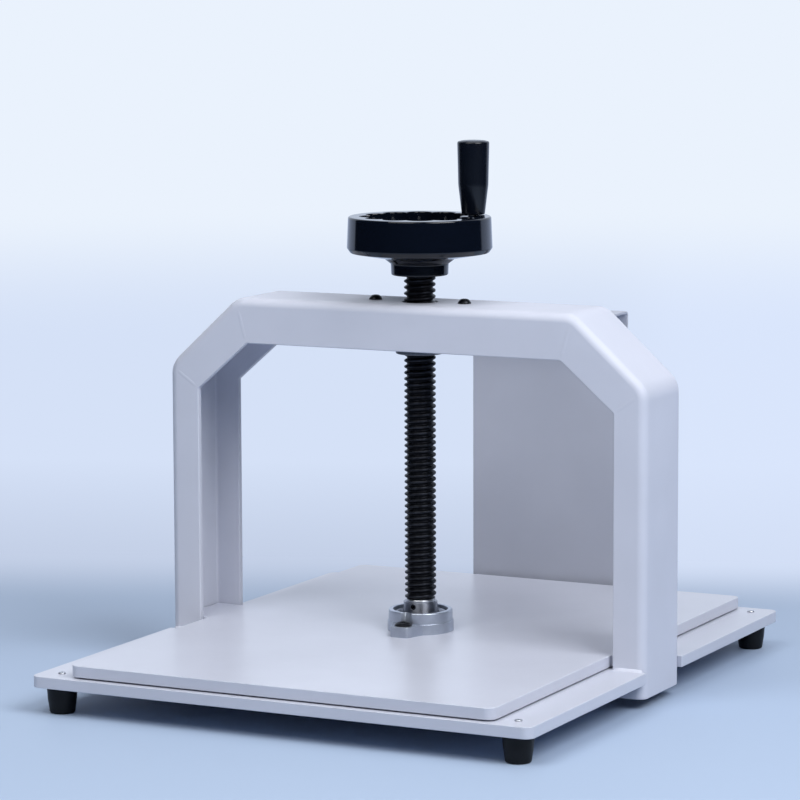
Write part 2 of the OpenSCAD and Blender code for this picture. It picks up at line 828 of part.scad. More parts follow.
// Shoulder bolt that the grip turns on, screwed into the wheel's boss
module handle_bolt() {
  color(steel) translate([handle_x, handle_y, 0]) difference() {
    union() {
      cylinder_between(bolt_stud_r, bolt_stud_bottom, handle_boss_top + eps);
      cylinder_between(bolt_shoulder_r, handle_boss_top, bolt_head_bottom + eps);
      cylinder_between(bolt_head_r, bolt_head_bottom, bolt_head_top);
    }
    translate([0, 0, bolt_head_top - 3]) hexagon(bolt_shoulder_r, 4);
  }
}

// Turning grip: waisted outside, bored for the bolt, open at the top for its cap
module handle_grip() {
  color(black) translate([handle_x, handle_y, 0]) difference() {
    rotate_extrude() polygon([
      [0, grip_foot], [grip_foot_d / 2, grip_foot],
      [grip_shoulder_d / 2, grip_foot + grip_shoulder_h],
      [grip_top_d / 2, grip_top], [0, grip_top]
    ]);
    cylinder_between(bolt_shoulder_r + grip_gap, grip_foot - 1, grip_top);
    cylinder_between(grip_recess_r, bolt_head_bottom - turn_gap, grip_top + 1);
    cylinder_between(cap_r + seat_gap, grip_top - cap_h, grip_top + 1);
  }
}

// Cap pressed into the grip's top, with a sloping edge
module handle_cap() {
  color(black) translate([handle_x, handle_y, 0]) {
    cylinder_between(cap_r, grip_top - cap_h, grip_top);
    translate([0, 0, grip_top - eps]) cylinder(r1 = cap_r, r2 = cap_r - 4 * cap_dome, h = cap_dome);
  }
}

base_plate();
foot_front_left();
foot_front_right();
foot_back_left();
foot_back_right();
foot_screws();
foot_washers();
foot_nuts();
arch_leg_left();
arch_leg_right();
arch_corner_left();
arch_corner_right();
arch_beam();
spindle_nut();
nut_screws();
back_panel();
panel_screws();
platen();
bearing_housing();
bearing_bolts();
bearing_outer_ring();
bearing_balls();
bearing_cage();
bearing_shields();
screw_spindle();
bearing_inner_ring();
grub_screws();
handwheel();
hub_bush();
wheel_key();
wheel_washer();
wheel_cap_nut();
handle_bolt();
handle_grip();
handle_cap();
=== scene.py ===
# %% [markdown]
# # A bench screw press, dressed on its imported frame
# The press flattens stacks of paper. A flat base stands on rubber feet, a bent channel arch
# goes over it, and a screw with a handwheel pushes a platen down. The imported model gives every
# place and size. This lesson makes the pieces that the eye sees, and lets each of them ride on
# the body that it belongs to.

# %% Load the frame
import math

import bmesh
import bpy
from mathutils import Matrix, Vector


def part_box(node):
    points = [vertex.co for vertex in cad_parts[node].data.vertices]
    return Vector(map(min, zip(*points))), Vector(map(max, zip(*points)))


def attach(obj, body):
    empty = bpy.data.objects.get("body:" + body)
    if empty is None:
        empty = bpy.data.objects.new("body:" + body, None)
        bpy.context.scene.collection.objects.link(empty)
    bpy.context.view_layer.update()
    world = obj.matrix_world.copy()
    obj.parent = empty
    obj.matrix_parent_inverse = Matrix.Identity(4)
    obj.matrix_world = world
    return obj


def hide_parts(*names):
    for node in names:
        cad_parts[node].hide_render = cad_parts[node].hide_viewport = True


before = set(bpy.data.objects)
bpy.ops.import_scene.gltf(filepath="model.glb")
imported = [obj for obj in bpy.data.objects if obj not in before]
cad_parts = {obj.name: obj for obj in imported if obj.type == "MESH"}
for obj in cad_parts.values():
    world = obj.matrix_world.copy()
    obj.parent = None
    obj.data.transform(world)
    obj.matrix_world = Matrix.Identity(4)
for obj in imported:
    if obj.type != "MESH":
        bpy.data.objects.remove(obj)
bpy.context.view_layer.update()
scene = bpy.context.scene
MM = 0.001

# %% [markdown]
# ## The camera
# The camera stands where the photographer stood, in front of the press, to its right and a
# little above it. A long lens keeps the upright lines nearly parallel. The three directions
# below are the camera's own axes, so no rotation has to be guessed.

# %% Camera
CAMERA_PLACE = (1.12993, -2.28991, 0.53615)
CAMERA_RIGHT = (0.89447, 0.44712, -0.00326)
CAMERA_UP = (-0.05519, 0.11763, 0.99152)
CAMERA_BACK = (0.44371, -0.88671, 0.12990)

camera_data = bpy.data.cameras.new("camera")
camera_data.sensor_width = 36.0
camera_data.lens = 163.08
camera_data.clip_end = 200.0
camera = bpy.data.objects.new("camera", camera_data)
scene.collection.objects.link(camera)
axes = Matrix((CAMERA_RIGHT, CAMERA_UP, CAMERA_BACK)).transposed().to_4x4()
camera.matrix_world = Matrix.Translation(CAMERA_PLACE) @ axes
scene.camera = camera
print("camera", round(Vector(CAMERA_PLACE).length, 2), "m from the press")

# %% [markdown]
# ## Colours and nodes
# Colours are written as hex values, as a colour picker shows them, and one function turns them
# into the linear values that the renderer counts with. Another one adds a node of any kind with
# its settings and links, and every material below is put together with it.


# %% Colour and node helpers
# Noise seldom leaves the middle of its range, so a ramp of two shades starts and ends inside it
SHADE_STOPS = (0.3, 0.7)


def linear(hex_colour):
    """Linear RGBA of an sRGB hex colour such as #c0c4d0."""
    channels = [int(hex_colour[i:i + 2], 16) / 255 for i in (1, 3, 5)]
    return [c / 12.92 if c <= 0.04045 else ((c + 0.055) / 1.055) ** 2.4 for c in channels] + [1.0]


def feed(node, inputs):
    """Sets inputs of a node. A socket is linked, and so is the first output of another node."""
    for key, value in inputs.items():
        if isinstance(value, bpy.types.Node):
            value = value.outputs[0]
        if isinstance(value, bpy.types.NodeSocket):
            node.id_data.links.new(value, node.inputs[key])
        else:
            node.inputs[key].default_value = value


def add(tree, kind, inputs=None, shades=(), **options):
    """A new node with its options, its inputs and, on a ramp, its two shades."""
    node = tree.nodes.new(kind)
    for key, value in options.items():
        setattr(node, key, value)
    for i, hex_colour in enumerate(shades):
        node.color_ramp.elements[i].position = SHADE_STOPS[i]
        node.color_ramp.elements[i].color = linear(hex_colour)
    feed(node, inputs or {})
    return node


def scale_of(size_mm):
    """Scale of a pattern whose blotches are about this many millimetres wide."""
    return 1.0 / (size_mm * MM)


print("white is", [round(c, 3) for c in linear("#ffffff")])


# %% Material helpers
def blank_material(name):
    """A material with only a Principled shader, and its tree, shader and object coordinates."""
    material = bpy.data.materials.new(name)
    material.use_nodes = True
    tree = material.node_tree
    tree.nodes.clear()
    shader = add(tree, "ShaderNodeBsdfPrincipled")
    add(tree, "ShaderNodeOutputMaterial", {"Surface": shader})
    place = add(tree, "ShaderNodeTexCoord").outputs["Object"]
    return material, tree, shader, place


def finish(name, shade, rough, bump=None, **constants):
    """Material whose shade, roughness and relief each follow a noise.

    Shade and roughness are given as two values, and the relief as its depth in millimetres and
    its strength. The noise's size in millimetres and its detail come after them.
    """
    material, tree, shader, place = blank_material(name)
    patterns = []
    for *_, size_mm, detail in filter(None, (shade, rough, bump)):
        settings = {"Vector": place, "Scale": scale_of(size_mm), "Detail": detail}
        patterns.append(add(tree, "ShaderNodeTexNoise", settings))
    rough_range = {"Value": patterns[1], "To Min": rough[0], "To Max": rough[1]}
    feed(shader, {
        "Base Color": add(tree, "ShaderNodeValToRGB", {"Fac": patterns[0]}, shade[:2]),
        "Roughness": add(tree, "ShaderNodeMapRange", rough_range),
        **constants,
    })
    if bump:
        waves = {"Height": patterns[2], "Distance": bump[0] * MM, "Strength": bump[1]}
        feed(shader, {"Normal": add(tree, "ShaderNodeBump", waves)})
    return material


print("a pattern of 1 mm has scale", scale_of(1.0))

# %% [markdown]
# ## Powder coat
# The frame is steel with a pale grey powder coat. The powder melts and flows in the oven, so the
# skin is even and satin, with low waves a few millimetres apart that soften each highlight.
# The waves are bump, because they are far too low to change an outline. The powder flows best
# on the two flat plates, so they are glossier and mirror the legs softly. The thin back panel is
# coated in a deeper grey than the heavy parts, as painted shade for the shade it stands in.


# %% Powder coat
def coat(name, dark, light, gloss, dull):
    """Satin powder coat between two shades and two values of roughness."""
    # Slow clouds of a second shade keep large flat faces from looking like one flat fill
    clouds = (dark, light, 70.0, 3.0)
    specks = (gloss, dull, 1.6, 2.0)
    peel = (0.02, 0.6, 3.2, 1.0)
    return finish(name, clouds, specks, peel, IOR=1.5)


powder_coat = coat("polyester_powder_coat", "#c4c7d3", "#cacdd9", 0.46, 0.58)
plate_coat = coat("polyester_powder_coat_glossier", "#bfc2ce", "#c5c8d4", 0.27, 0.35)
# The back panel's coat is darker as painted shade, for the shade behind the arch
panel_shade_coat = coat("polyester_powder_coat_deeper", "#b0b3bf", "#b6b9c5", 0.40, 0.52)
print("made", powder_coat.name, plate_coat.name, "and", panel_shade_coat.name)

# %% [markdown]
# ## Black plastic and rubber
# The handwheel and its handle are pressed from phenolic resin, a hard black plastic that comes
# out of a polished mould with a deep gloss. The handle is held most, so its gloss is duller.
# The feet are moulded rubber, which is dull and a little grey where dust clings to it.


# %% Phenolic resin and rubber
def resin(name, gloss, dull):
    """Black phenolic resin, between two values of roughness."""
    material, tree, shader, place = blank_material(name)
    touch = {"Vector": place, "Scale": scale_of(18.0), "Detail": 4.0}
    handling = add(tree, "ShaderNodeTexNoise", touch)
    flow = add(tree, "ShaderNodeTexNoise", {"Vector": place, "Scale": scale_of(9.0), "Detail": 1.0})
    # Fingers dull the gloss in patches, and the mould leaves slow waves that bend reflections
    rough_range = {"Value": handling, "To Min": gloss, "To Max": dull}
    waves = {"Height": flow, "Distance": 0.015 * MM, "Strength": 0.5}
    feed(shader, {
        "Base Color": linear("#080d17"),
        "Roughness": add(tree, "ShaderNodeMapRange", rough_range),
        "Normal": add(tree, "ShaderNodeBump", waves),
        "IOR": 1.46,
    })
    return material


phenolic = resin("moulded_phenolic_resin", 0.05, 0.12)
held_phenolic = resin("handled_phenolic_resin", 0.20, 0.30)

# Dust sets the shade and the dullness of the rubber together, over a grain coarse enough to show
rubber = finish("moulded_black_rubber", ("#06080c", "#0c0e13", 6.0, 5.0), (0.38, 0.52, 6.0, 5.0),
                (0.05, 0.5, 0.9, 2.0), IOR=1.32)
print("made", phenolic.name, held_phenolic.name, "and", rubber.name)

# %% [markdown]
# ## Steel and zinc
# The screw is blackened steel, oiled, with its crests a little brighter: partly rubbed by the nut,
# partly a painted highlight along them. The bearing's housing is die-cast zinc with a fine sandy
# skin, and its collar is ground steel with faint rings around it. The small screws are zinc plated.
# Each metal has its own roughness, because that is what tells them apart at this size.

# %% Blackened steel
ROOT_R = 9.3
CREST_R = 11.25
CREST_LIGHT_DEPTH = 0.85
black_steel, tree, shader, place = blank_material("black_oxide_steel")
split = add(tree, "ShaderNodeSeparateXYZ", {"Vector": place}).outputs
flat = add(tree, "ShaderNodeCombineXYZ", {"X": split["X"], "Y": split["Y"]})
from_axis = add(tree, "ShaderNodeVectorMath", {0: flat}, operation="LENGTH").outputs["Value"]
# The crests are lighter, in smears: partly worn by the nut, partly a painted highlight
crest_band = {"Value": from_axis, "From Min": (CREST_R - CREST_LIGHT_DEPTH) * MM, "From Max": CREST_R * MM}
crest_wear_and_light = add(tree, "ShaderNodeMapRange", crest_band)
smear = add(tree, "ShaderNodeTexNoise", {"Vector": place, "Scale": scale_of(4.0), "Detail": 4.0})
crest_wear_and_highlight = add(tree, "ShaderNodeMath", {0: crest_wear_and_light, 1: smear}, operation="MULTIPLY")
feed(shader, {
    "Base Color": add(tree, "ShaderNodeValToRGB", {"Fac": crest_wear_and_highlight}, ("#111319", "#30333b")),
    "Roughness": add(tree, "ShaderNodeMapRange", {"Value": smear, "To Min": 0.30, "To Max": 0.48}),
    "Metallic": 0.75,
})
print("made", black_steel.name)

# %% Black bolts, plated steel, iron, zinc, ground steel and brass
# Oil darkens the bolts, a film clouds the plating, pores grey the iron, and the zinc is sandy.
# Its sand is drawn coarser than the real skin's, so that it shows.
black_bolt = finish("black_oxide_bolt", ("#0c0e13", "#191b21", 3.0, 3.0), (0.28, 0.42, 3.0, 3.0),
                    Metallic=0.6)
plated = finish("zinc_plated_steel", ("#b9bcc2", "#ccced2", 2.5, 3.0), (0.24, 0.40, 2.5, 3.0), Metallic=1.0)
iron = finish("machined_cast_iron", ("#62656c", "#767981", 1.2, 4.0), (0.32, 0.48, 1.2, 4.0), Metallic=0.8)
die_cast = finish("die_cast_zinc", ("#b3bac7", "#c3cad5", 9.0, 3.0), (0.30, 0.44, 0.9, 3.0),
                  (0.06, 0.5, 0.9, 3.0), Metallic=0.85)

ground_steel, tree, shader, place = blank_material("ground_bearing_steel")
rings = add(tree, "ShaderNodeMapping", {"Vector": place, "Scale": (0.0, 0.0, 1.0)})
lines = add(tree, "ShaderNodeTexNoise", {"Vector": rings, "Scale": scale_of(0.5), "Detail": 3.0})
# The grinding rings spread each reflection up and down, which draws upright bands of light.
# Real ones are far finer, and these are as coarse as they need to be to show.
feed(shader, {
    "Base Color": linear("#9a9da6"),
    "Roughness": add(tree, "ShaderNodeMapRange", {"Value": lines, "To Min": 0.38, "To Max": 0.48}),
    "Normal": add(tree, "ShaderNodeBump", {"Height": lines, "Distance": 0.04 * MM, "Strength": 1.0}),
    "Metallic": 1.0,
    "Anisotropic": 0.9,
    "Anisotropic Rotation": 0.25,
})

brass, tree, shader, place = blank_material("plain_brass")
tarnish = add(tree, "ShaderNodeTexNoise", {"Vector": place, "Scale": scale_of(3.0), "Detail": 3.0})
# Tarnish browns the brass in small clouds
feed(shader, {
    "Base Color": add(tree, "ShaderNodeValToRGB", {"Fac": tarnish}, ("#a5823c", "#c2a052")),
    "Metallic": 1.0,
    "Roughness": 0.35,
})
print("made", ", ".join(m.name for m in (black_bolt, plated, iron, die_cast, ground_steel, brass)))

# %% [markdown]
# ## Floor, world and lamps
# The press stands on a wide pale floor in soft studio light. Most of it comes from above and from
# the front, and all lamps hang high, so the glossy wheel mirrors none of them. The studio is pale
# behind the press and dim behind the camera, so the wheel looks black with bright edges. Far
# from the press the floor turns into a plain pale ground for the eye, and near it the shadow stays.

# %% Floor
FLOOR_HALF = 40.0
# Directions on the floor: past the press, a little to the right of the camera's view, and sideways
AWAY = (-0.368, 0.930, 0.0)
RIGHTWARDS = (0.930, 0.368, 0.0)
# Cosines of the angle from AWAY between which the mirrored studio turns from dim to pale
STUDIO_TURN = (0.40, 0.60)
STUDIO_SHADE = "#1c222e"
BACKDROP = "#eaf2fd"
floor_mesh = bpy.data.meshes.new("floor")
SQUARE = [(-1, -1), (1, -1), (1, 1), (-1, 1)]
floor_points = [(x * FLOOR_HALF, y * FLOOR_HALF, 0.0) for x, y in SQUARE]
floor_mesh.from_pydata(floor_points, [], [(0, 1, 2, 3)])
floor = bpy.data.objects.new("floor", floor_mesh)
scene.collection.objects.link(floor)
print("floor", 2 * FLOOR_HALF, "m wide")

# %% Floor paint
# Metres from the middle of the press between which each change of the floor runs
FADE_BEHIND = (0.27, 0.50)
FADE_AROUND = (0.55, 0.95)
FADE_MIRRORED = (1.0, 1.8)
PALE_BEHIND = (-0.23, 1.78)
PALE_RIGHT = (0.02, 0.18)
PALE_FAR = (2.1, 4.4)
RIGHT_SHARE = 0.6
floor_paint, tree, shader, place = blank_material("matt_floor_paint")
floor_mesh.materials.append(floor_paint)
# Wide scuffs keep the matt paint from being one flat fill
scuff = add(tree, "ShaderNodeTexNoise", {"Vector": place, "Scale": scale_of(900.0), "Detail": 2.0})
feed(shader, {
    "Base Color": add(tree, "ShaderNodeValToRGB", {"Fac": scuff}, ("#a5b6ce", "#a9bad1")),
    "Roughness": 0.6,
})
away = add(tree, "ShaderNodeVectorMath", {0: place}, operation="LENGTH").outputs["Value"]
behind, rightwards = (
    add(tree, "ShaderNodeVectorMath", {0: place, 1: way}, operation="DOT_PRODUCT").outputs["Value"]
    for way in (AWAY, RIGHTWARDS))
facing = add(tree, "ShaderNodeMath", {0: behind, 1: away}, operation="DIVIDE")
changes = []
for value, (start, end) in (
    (behind, FADE_BEHIND), (away, FADE_AROUND), (away, FADE_MIRRORED), (behind, PALE_BEHIND),
    (rightwards, PALE_RIGHT), (away, PALE_FAR), (facing, STUDIO_TURN),
):
    limits = {"Value": value, "From Min": start, "From Max": end}
    changes.append(add(tree, "ShaderNodeMapRange", limits, interpolation_type="SMOOTHSTEP"))
fade_behind, fade_around, fade_mirrored, pale_behind, pale_right, pale_far, studio_pale = changes
print("changes of the floor:", len(changes))

# %% Ground as the eye and the gloss see it
# Far from the press the camera sees pale ground, a little brighter on the side of the key lamp.
# A colour mix takes its share and its colours by sockets 0, 6 and 7, and output 2 gives the result.
near_pale = add(tree, "ShaderNodeValToRGB", {"Fac": pale_behind}, ("#c4d0e7", "#d5e1f7"))
right_share = add(tree, "ShaderNodeMath", {0: pale_right, 1: RIGHT_SHARE}, operation="MULTIPLY")
right_mix = {0: right_share, 6: near_pale, 7: linear("#dce8ff")}
side_pale = add(tree, "ShaderNodeMix", right_mix, data_type="RGBA").outputs[2]
far_mix = {0: pale_far, 6: side_pale, 7: linear(BACKDROP)}
pale = add(tree, "ShaderNodeMix", far_mix, data_type="RGBA").outputs[2]
seen_ground = add(tree, "ShaderNodeEmission", {"Color": pale})
rays = add(tree, "ShaderNodeLightPath").outputs
seen_rays = {0: rays["Is Camera Ray"], 1: rays["Is Transmission Ray"]}
seen = add(tree, "ShaderNodeMath", seen_rays, operation="MAXIMUM")
fading = add(tree, "ShaderNodeMath", {0: fade_behind, 1: fade_around}, operation="MAXIMUM")
far_seen = add(tree, "ShaderNodeMath", {0: seen, 1: fading}, operation="MULTIPLY")

# Glossy pieces mirror the dim and the pale side of the studio
shown = add(tree, "ShaderNodeValToRGB", {"Fac": studio_pale}, (STUDIO_SHADE, "#cadafa"))
mirrored_ground = add(tree, "ShaderNodeEmission", {"Color": shown})
glossy_rays = {0: rays["Is Glossy Ray"], 1: fade_mirrored}
far_mirrored = add(tree, "ShaderNodeMath", glossy_rays, operation="MULTIPLY")
with_seen = add(tree, "ShaderNodeMixShader", {"Fac": far_seen, 1: shader, 2: seen_ground})
with_mirrored = add(tree, "ShaderNodeMixShader", {"Fac": far_mirrored, 1: with_seen, 2: mirrored_ground})
feed(tree.nodes["Material Output"], {"Surface": with_mirrored})
print("made", floor_paint.name)

# %% World
WORLD_DIM = 0.10
WORLD_PALE = 0.16
WORLD_TOP = 0.03
# Cosine from AWAY, and height of the direction, between which the light grows
WORLD_TURN = (-0.5, 0.7)
CEILING_EDGE = (0.1, 0.55)
world = bpy.data.worlds.new("studio")
world.use_nodes = True
scene.world = world
tree = world.node_tree
tree.nodes.clear()
facing = add(tree, "ShaderNodeTexCoord").outputs["Generated"]
behind = add(tree, "ShaderNodeVectorMath", {0: facing, 1: AWAY}, operation="DOT_PRODUCT").outputs["Value"]
height = add(tree, "ShaderNodeSeparateXYZ", {"Vector": facing}).outputs["Z"]
# The light grows towards the pale side of the studio and towards its ceiling
changes = []
for value, (start, end), low, high in (
    (behind, WORLD_TURN, WORLD_DIM, WORLD_PALE), (height, CEILING_EDGE, 0.0, WORLD_TOP),
    (behind, STUDIO_TURN, 0.0, 1.0),
):
    limits = {"Value": value, "From Min": start, "From Max": end, "To Min": low, "To Max": high}
    changes.append(add(tree, "ShaderNodeMapRange", limits, interpolation_type="SMOOTHSTEP"))
glow, ceiling, studio_pale = changes
strength = add(tree, "ShaderNodeMath", {0: glow, 1: ceiling}, operation="ADD")
shown = add(tree, "ShaderNodeValToRGB", {"Fac": studio_pale}, (STUDIO_SHADE, "#deeafe"))
light = add(tree, "ShaderNodeBackground", {"Color": linear("#dde8fb"), "Strength": strength})
mirrored = add(tree, "ShaderNodeBackground", {"Color": shown})
backdrop = add(tree, "ShaderNodeBackground", {"Color": linear(BACKDROP)})
rays = add(tree, "ShaderNodeLightPath").outputs
seen_rays = {0: rays["Is Camera Ray"], 1: rays["Is Transmission Ray"]}
seen = add(tree, "ShaderNodeMath", seen_rays, operation="MAXIMUM")
lit = add(tree, "ShaderNodeMixShader", {"Fac": rays["Is Glossy Ray"], 1: light, 2: mirrored})
mixed = add(tree, "ShaderNodeMixShader", {"Fac": seen, 1: lit, 2: backdrop})
add(tree, "ShaderNodeOutputWorld", {"Surface": mixed})
scene.view_settings.view_transform = "Standard"
print("world from", WORLD_DIM, "to", WORLD_PALE)


# %% Lamps
def soft_lamp(name, place, size, power, colour):
    """Square area lamp at a place, turned towards the middle of the press."""
    data = bpy.data.lights.new(name, "AREA")
    data.shape = "SQUARE"
    data.size = size
    data.energy = power
    data.color = linear(colour)[:3]
    lamp = bpy.data.objects.new(name, data)
    scene.collection.objects.link(lamp)
    turn = (PRESS_MIDDLE - Vector(place)).to_track_quat("-Z", "Y")
    lamp.matrix_world = Matrix.Translation(place) @ turn.to_matrix().to_4x4()
    lamp.visible_camera = False
    return lamp


PRESS_MIDDLE = Vector((0.0, 0.0, 0.18))
lamps = [
    soft_lamp("key_right", (1.614, -0.652, 1.832), 1.5, 54.5, "#f9fbff"),
    soft_lamp("fill_front", (-0.207, -1.308, 1.937), 1.4, 25.5, "#fdfeff"),
    soft_lamp("top_back", (0.0, 0.4, 2.0), 1.2, 6.6, "#f4f8ff"),
]
print("lamps:", ", ".join(lamp.name for lamp in lamps))

# %% [markdown]
# ## Tools for making pieces
# Most pieces here are turned on a lathe, cut from plate or bent from sheet, and the helpers
# follow those trades. Each one returns points in millimetres and faces, and one function makes
# the object from them. Edges are rounded, because the edge of a real machine catches a line of light.


# %% Piece and rounded outline
def piece(name, points, faces, material, sharp_deg=40.0):
    """Object from points in millimetres, merged, with its faces outwards and smooth shading."""
    mesh = bpy.data.meshes.new(name)
    mesh.from_pydata([[c * MM for c in p] for p in points], [], faces)
    bm = bmesh.new()
    bm.from_mesh(mesh)
    bmesh.ops.remove_doubles(bm, verts=bm.verts, dist=1e-6)
    bmesh.ops.recalc_face_normals(bm, faces=bm.faces)
    bm.to_mesh(mesh)
    bm.free()
    mesh.shade_smooth()
    mesh.set_sharp_from_angle(angle=math.radians(sharp_deg))
    mesh.materials.append(material)
    obj = bpy.data.objects.new(name, mesh)
    scene.collection.objects.link(obj)
    return obj


def rounded(corners, steps=6):
    """Outline with its corners rounded. A corner is (u, v, radius), and 0 keeps it sharp."""
    outline = []
    for i, (u, v, r) in enumerate(corners):
        tip = Vector((u, v))
        if r <= 0:
            outline.append((u, v))
            continue
        before = (Vector(corners[i - 1][:2]) - tip).normalized()
        after = (Vector(corners[(i + 1) % len(corners)][:2]) - tip).normalized()
        half = before.angle(after) / 2
        centre = tip + (before + after).normalized() * (r / math.sin(half))
        start = tip + before * (r / math.tan(half)) - centre
        end = tip + after * (r / math.tan(half)) - centre
        sweep = math.atan2(start.x * end.y - start.y * end.x, start.dot(end))
        for k in range(steps + 1):
            turned_start = Matrix.Rotation(sweep * k / steps, 2) @ start
            outline.append(tuple(centre + turned_start))
    return outline


print("points of a rounded square:", len(rounded([(x, y, 0.2) for x, y in SQUARE])))


# %% Turning
def turned(profile, steps=96, centre=(0.0, 0.0), ring=False):
    """Points and faces of a profile turned about an upright axis.

    A profile point is (radius, height), or (radius, height, shape) where shape gives the
    radius at an angle. A ring profile closes on itself.
    """
    count = len(profile)
    points = []
    for j in range(steps):
        angle = 2 * math.pi * j / steps
        for r, z, *shape in profile:
            reach = shape[0](r, angle) if shape else r
            x = centre[0] + reach * math.cos(angle)
            y = centre[1] + reach * math.sin(angle)
            points.append((x, y, z))
    faces = []
    for j in range(steps):
        k = (j + 1) % steps
        for i in range(count if ring else count - 1):
            n = (i + 1) % count
            faces.append((j * count + i, k * count + i, k * count + n, j * count + n))
    return points, faces


def hexagon(flat_r, angle):
    """Radius of a hexagon, with this radius at its flats."""
    return flat_r / math.cos((angle + math.pi / 6) % (math.pi / 3) - math.pi / 6)


def cross(tip_r, angle):
    """Radius of a cross-shaped driver slot."""
    return tip_r * (0.34 + 0.66 * max(0.0, math.cos(2 * (angle + math.pi / 4))) ** 5)


print("a hexagon's corners reach", round(hexagon(1.0, math.pi / 6), 3), "times as far as its flats")


# %% Plate and drill
def plate(outline, low, high):
    """Points and faces of an outline given a thickness along Z."""
    n = len(outline)
    points = [(x, y, low) for x, y in outline] + [(x, y, high) for x, y in outline]
    faces = [tuple(reversed(range(n))), tuple(range(n, 2 * n))]
    faces += [(i, (i + 1) % n, n + (i + 1) % n, n + i) for i in range(n)]
    return points, faces


def plug(name, r, low, high, material, steps=64, centre=(0.0, 0.0)):
    """Upright cylinder, to drill with."""
    return piece(name, *turned([(0, low), (r, low), (r, high), (0, high)], steps, centre), material)


print("faces of a square plate:", len(plate(SQUARE, 0, 1)[1]))

# %% Edges
# Degrees between two faces from which their edge is rounded, or kept sharp after a cut
ROUND_FROM = 38.0
SHARP_FROM = 35.0


def soften(obj, width_mm, steps=3):
    """Rounds the sharp edges of a piece and keeps its flat faces flat to the light."""
    bevel = obj.modifiers.new("edges", "BEVEL")
    bevel.width = width_mm * MM
    bevel.segments = steps
    bevel.limit_method = "ANGLE"
    bevel.angle_limit = math.radians(ROUND_FROM)
    bevel.use_clamp_overlap = True
    bevel.miter_outer = "MITER_ARC"
    flats = obj.modifiers.new("flats", "WEIGHTED_NORMAL")
    flats.mode = "FACE_AREA"
    flats.keep_sharp = False
    flats.weight = 50


def shaded_again(obj):
    """Smooth shading for a piece that was cut or joined, with its sharp edges kept."""
    obj.data.shade_smooth()
    obj.data.set_sharp_from_angle(angle=math.radians(SHARP_FROM))
    flats = obj.modifiers.new("flats", "WEIGHTED_NORMAL")
    flats.keep_sharp = True


print("edges are rounded from", ROUND_FROM, "degrees")


# %% Cutting and fitting
def applied(obj):
    """Turns a piece and its modifiers into one plain mesh."""
    graph = bpy.context.evaluated_depsgraph_get()
    mesh = bpy.data.meshes.new_from_object(obj.evaluated_get(graph))
    old = obj.data
    obj.modifiers.clear()
    obj.data = mesh
    bpy.data.meshes.remove(old)
    mesh.name = obj.name


def carved(obj, cutter, operation="DIFFERENCE"):
    """Cuts one piece out of another, or joins it on, and deletes it."""
    cut = obj.modifiers.new("cut", "BOOLEAN")
    cut.operation = operation
    cut.solver = "EXACT"
    cut.object = cutter
    applied(obj)
    bpy.data.objects.remove(cutter)


def fitted(obj, body, slot, *nodes):
    """Lets a piece ride on a body and hides the CAD nodes that it stands for. The finish is not used."""
    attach(obj, body)
    if nodes:
        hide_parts(*nodes)
    print(obj.name, "rides on", body, "for", ", ".join(nodes) or "itself")


# %% [markdown]
# ## Repeated screws
# Screws come in twos and fours. One is made, and a Geometry Nodes tree sets a copy on each point.
# The tree ends in real geometry, because instances are lost when the model is exported.


# %% Copies on points
def copies_tree():
    """Geometry Nodes tree that sets a copy of an object on each point of a mesh."""
    tree = bpy.data.node_groups.new("copies_on_points", "GeometryNodeTree")
    sockets = {}
    for name, kind in (("Geometry", "NodeSocketGeometry"), ("Original", "NodeSocketObject"),
                       ("Finish", "NodeSocketMaterial")):
        sockets[name] = tree.interface.new_socket(name, in_out="INPUT", socket_type=kind)
    tree.interface.new_socket("Geometry", in_out="OUTPUT", socket_type="NodeSocketGeometry")
    given = add(tree, "NodeGroupInput")
    original = add(tree, "GeometryNodeObjectInfo", {"Object": given.outputs["Original"]})
    dots = add(tree, "GeometryNodeMeshToPoints", {"Mesh": given.outputs["Geometry"]})
    copies = add(tree, "GeometryNodeInstanceOnPoints", {
        "Points": dots, "Instance": original.outputs["Geometry"]})
    real = add(tree, "GeometryNodeRealizeInstances", {"Geometry": copies})
    painted = add(tree, "GeometryNodeSetMaterial", {
        "Geometry": real, "Material": given.outputs["Finish"]})
    add(tree, "NodeGroupOutput", {"Geometry": painted})
    return tree, {name: socket.identifier for name, socket in sockets.items()}


COPIES, COPIES_INPUT = copies_tree()


def copies(name, original, places, material):
    """One object with a copy of the original at each place, in millimetres."""
    mesh = bpy.data.meshes.new(name)
    mesh.from_pydata([[c * MM for c in p] for p in places], [], [])
    obj = bpy.data.objects.new(name, mesh)
    scene.collection.objects.link(obj)
    nodes = obj.modifiers.new("copies", "NODES")
    nodes.node_group = COPIES
    nodes[COPIES_INPUT["Original"]] = original
    nodes[COPIES_INPUT["Finish"]] = material
    applied(obj)
    bpy.data.objects.remove(original)
    return obj


print("copies tree has", len(COPIES.nodes), "nodes")

# %% [markdown]
# ## Base plate and platen
# Both plates are laser-cut steel, 8 mm thick, with round corners. The base has a notch on each
# side where a leg is welded in. The platen has a tongue on each side that slides inside the
# channel of the leg, so that it can't turn with the screw.

# %% Base plate
base_low, base_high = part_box("base_plate")
leg_low, leg_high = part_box("arch_leg_right")
BASE_X, BASE_Y, BASE_TOP = (c / MM for c in base_high)
BASE_BOTTOM = base_low.z / MM
LEG_OUT = leg_high.x / MM
LEG_IN = leg_low.x / MM
ARCH_HALF = leg_high.y / MM
PLATE_R = 7.0
PLATE_EDGE = 0.5


def both_halves(half):
    """Whole outline from the corners of its right half."""
    return rounded(half + [(-x, y, r) for x, y, r in reversed(half)], 10)


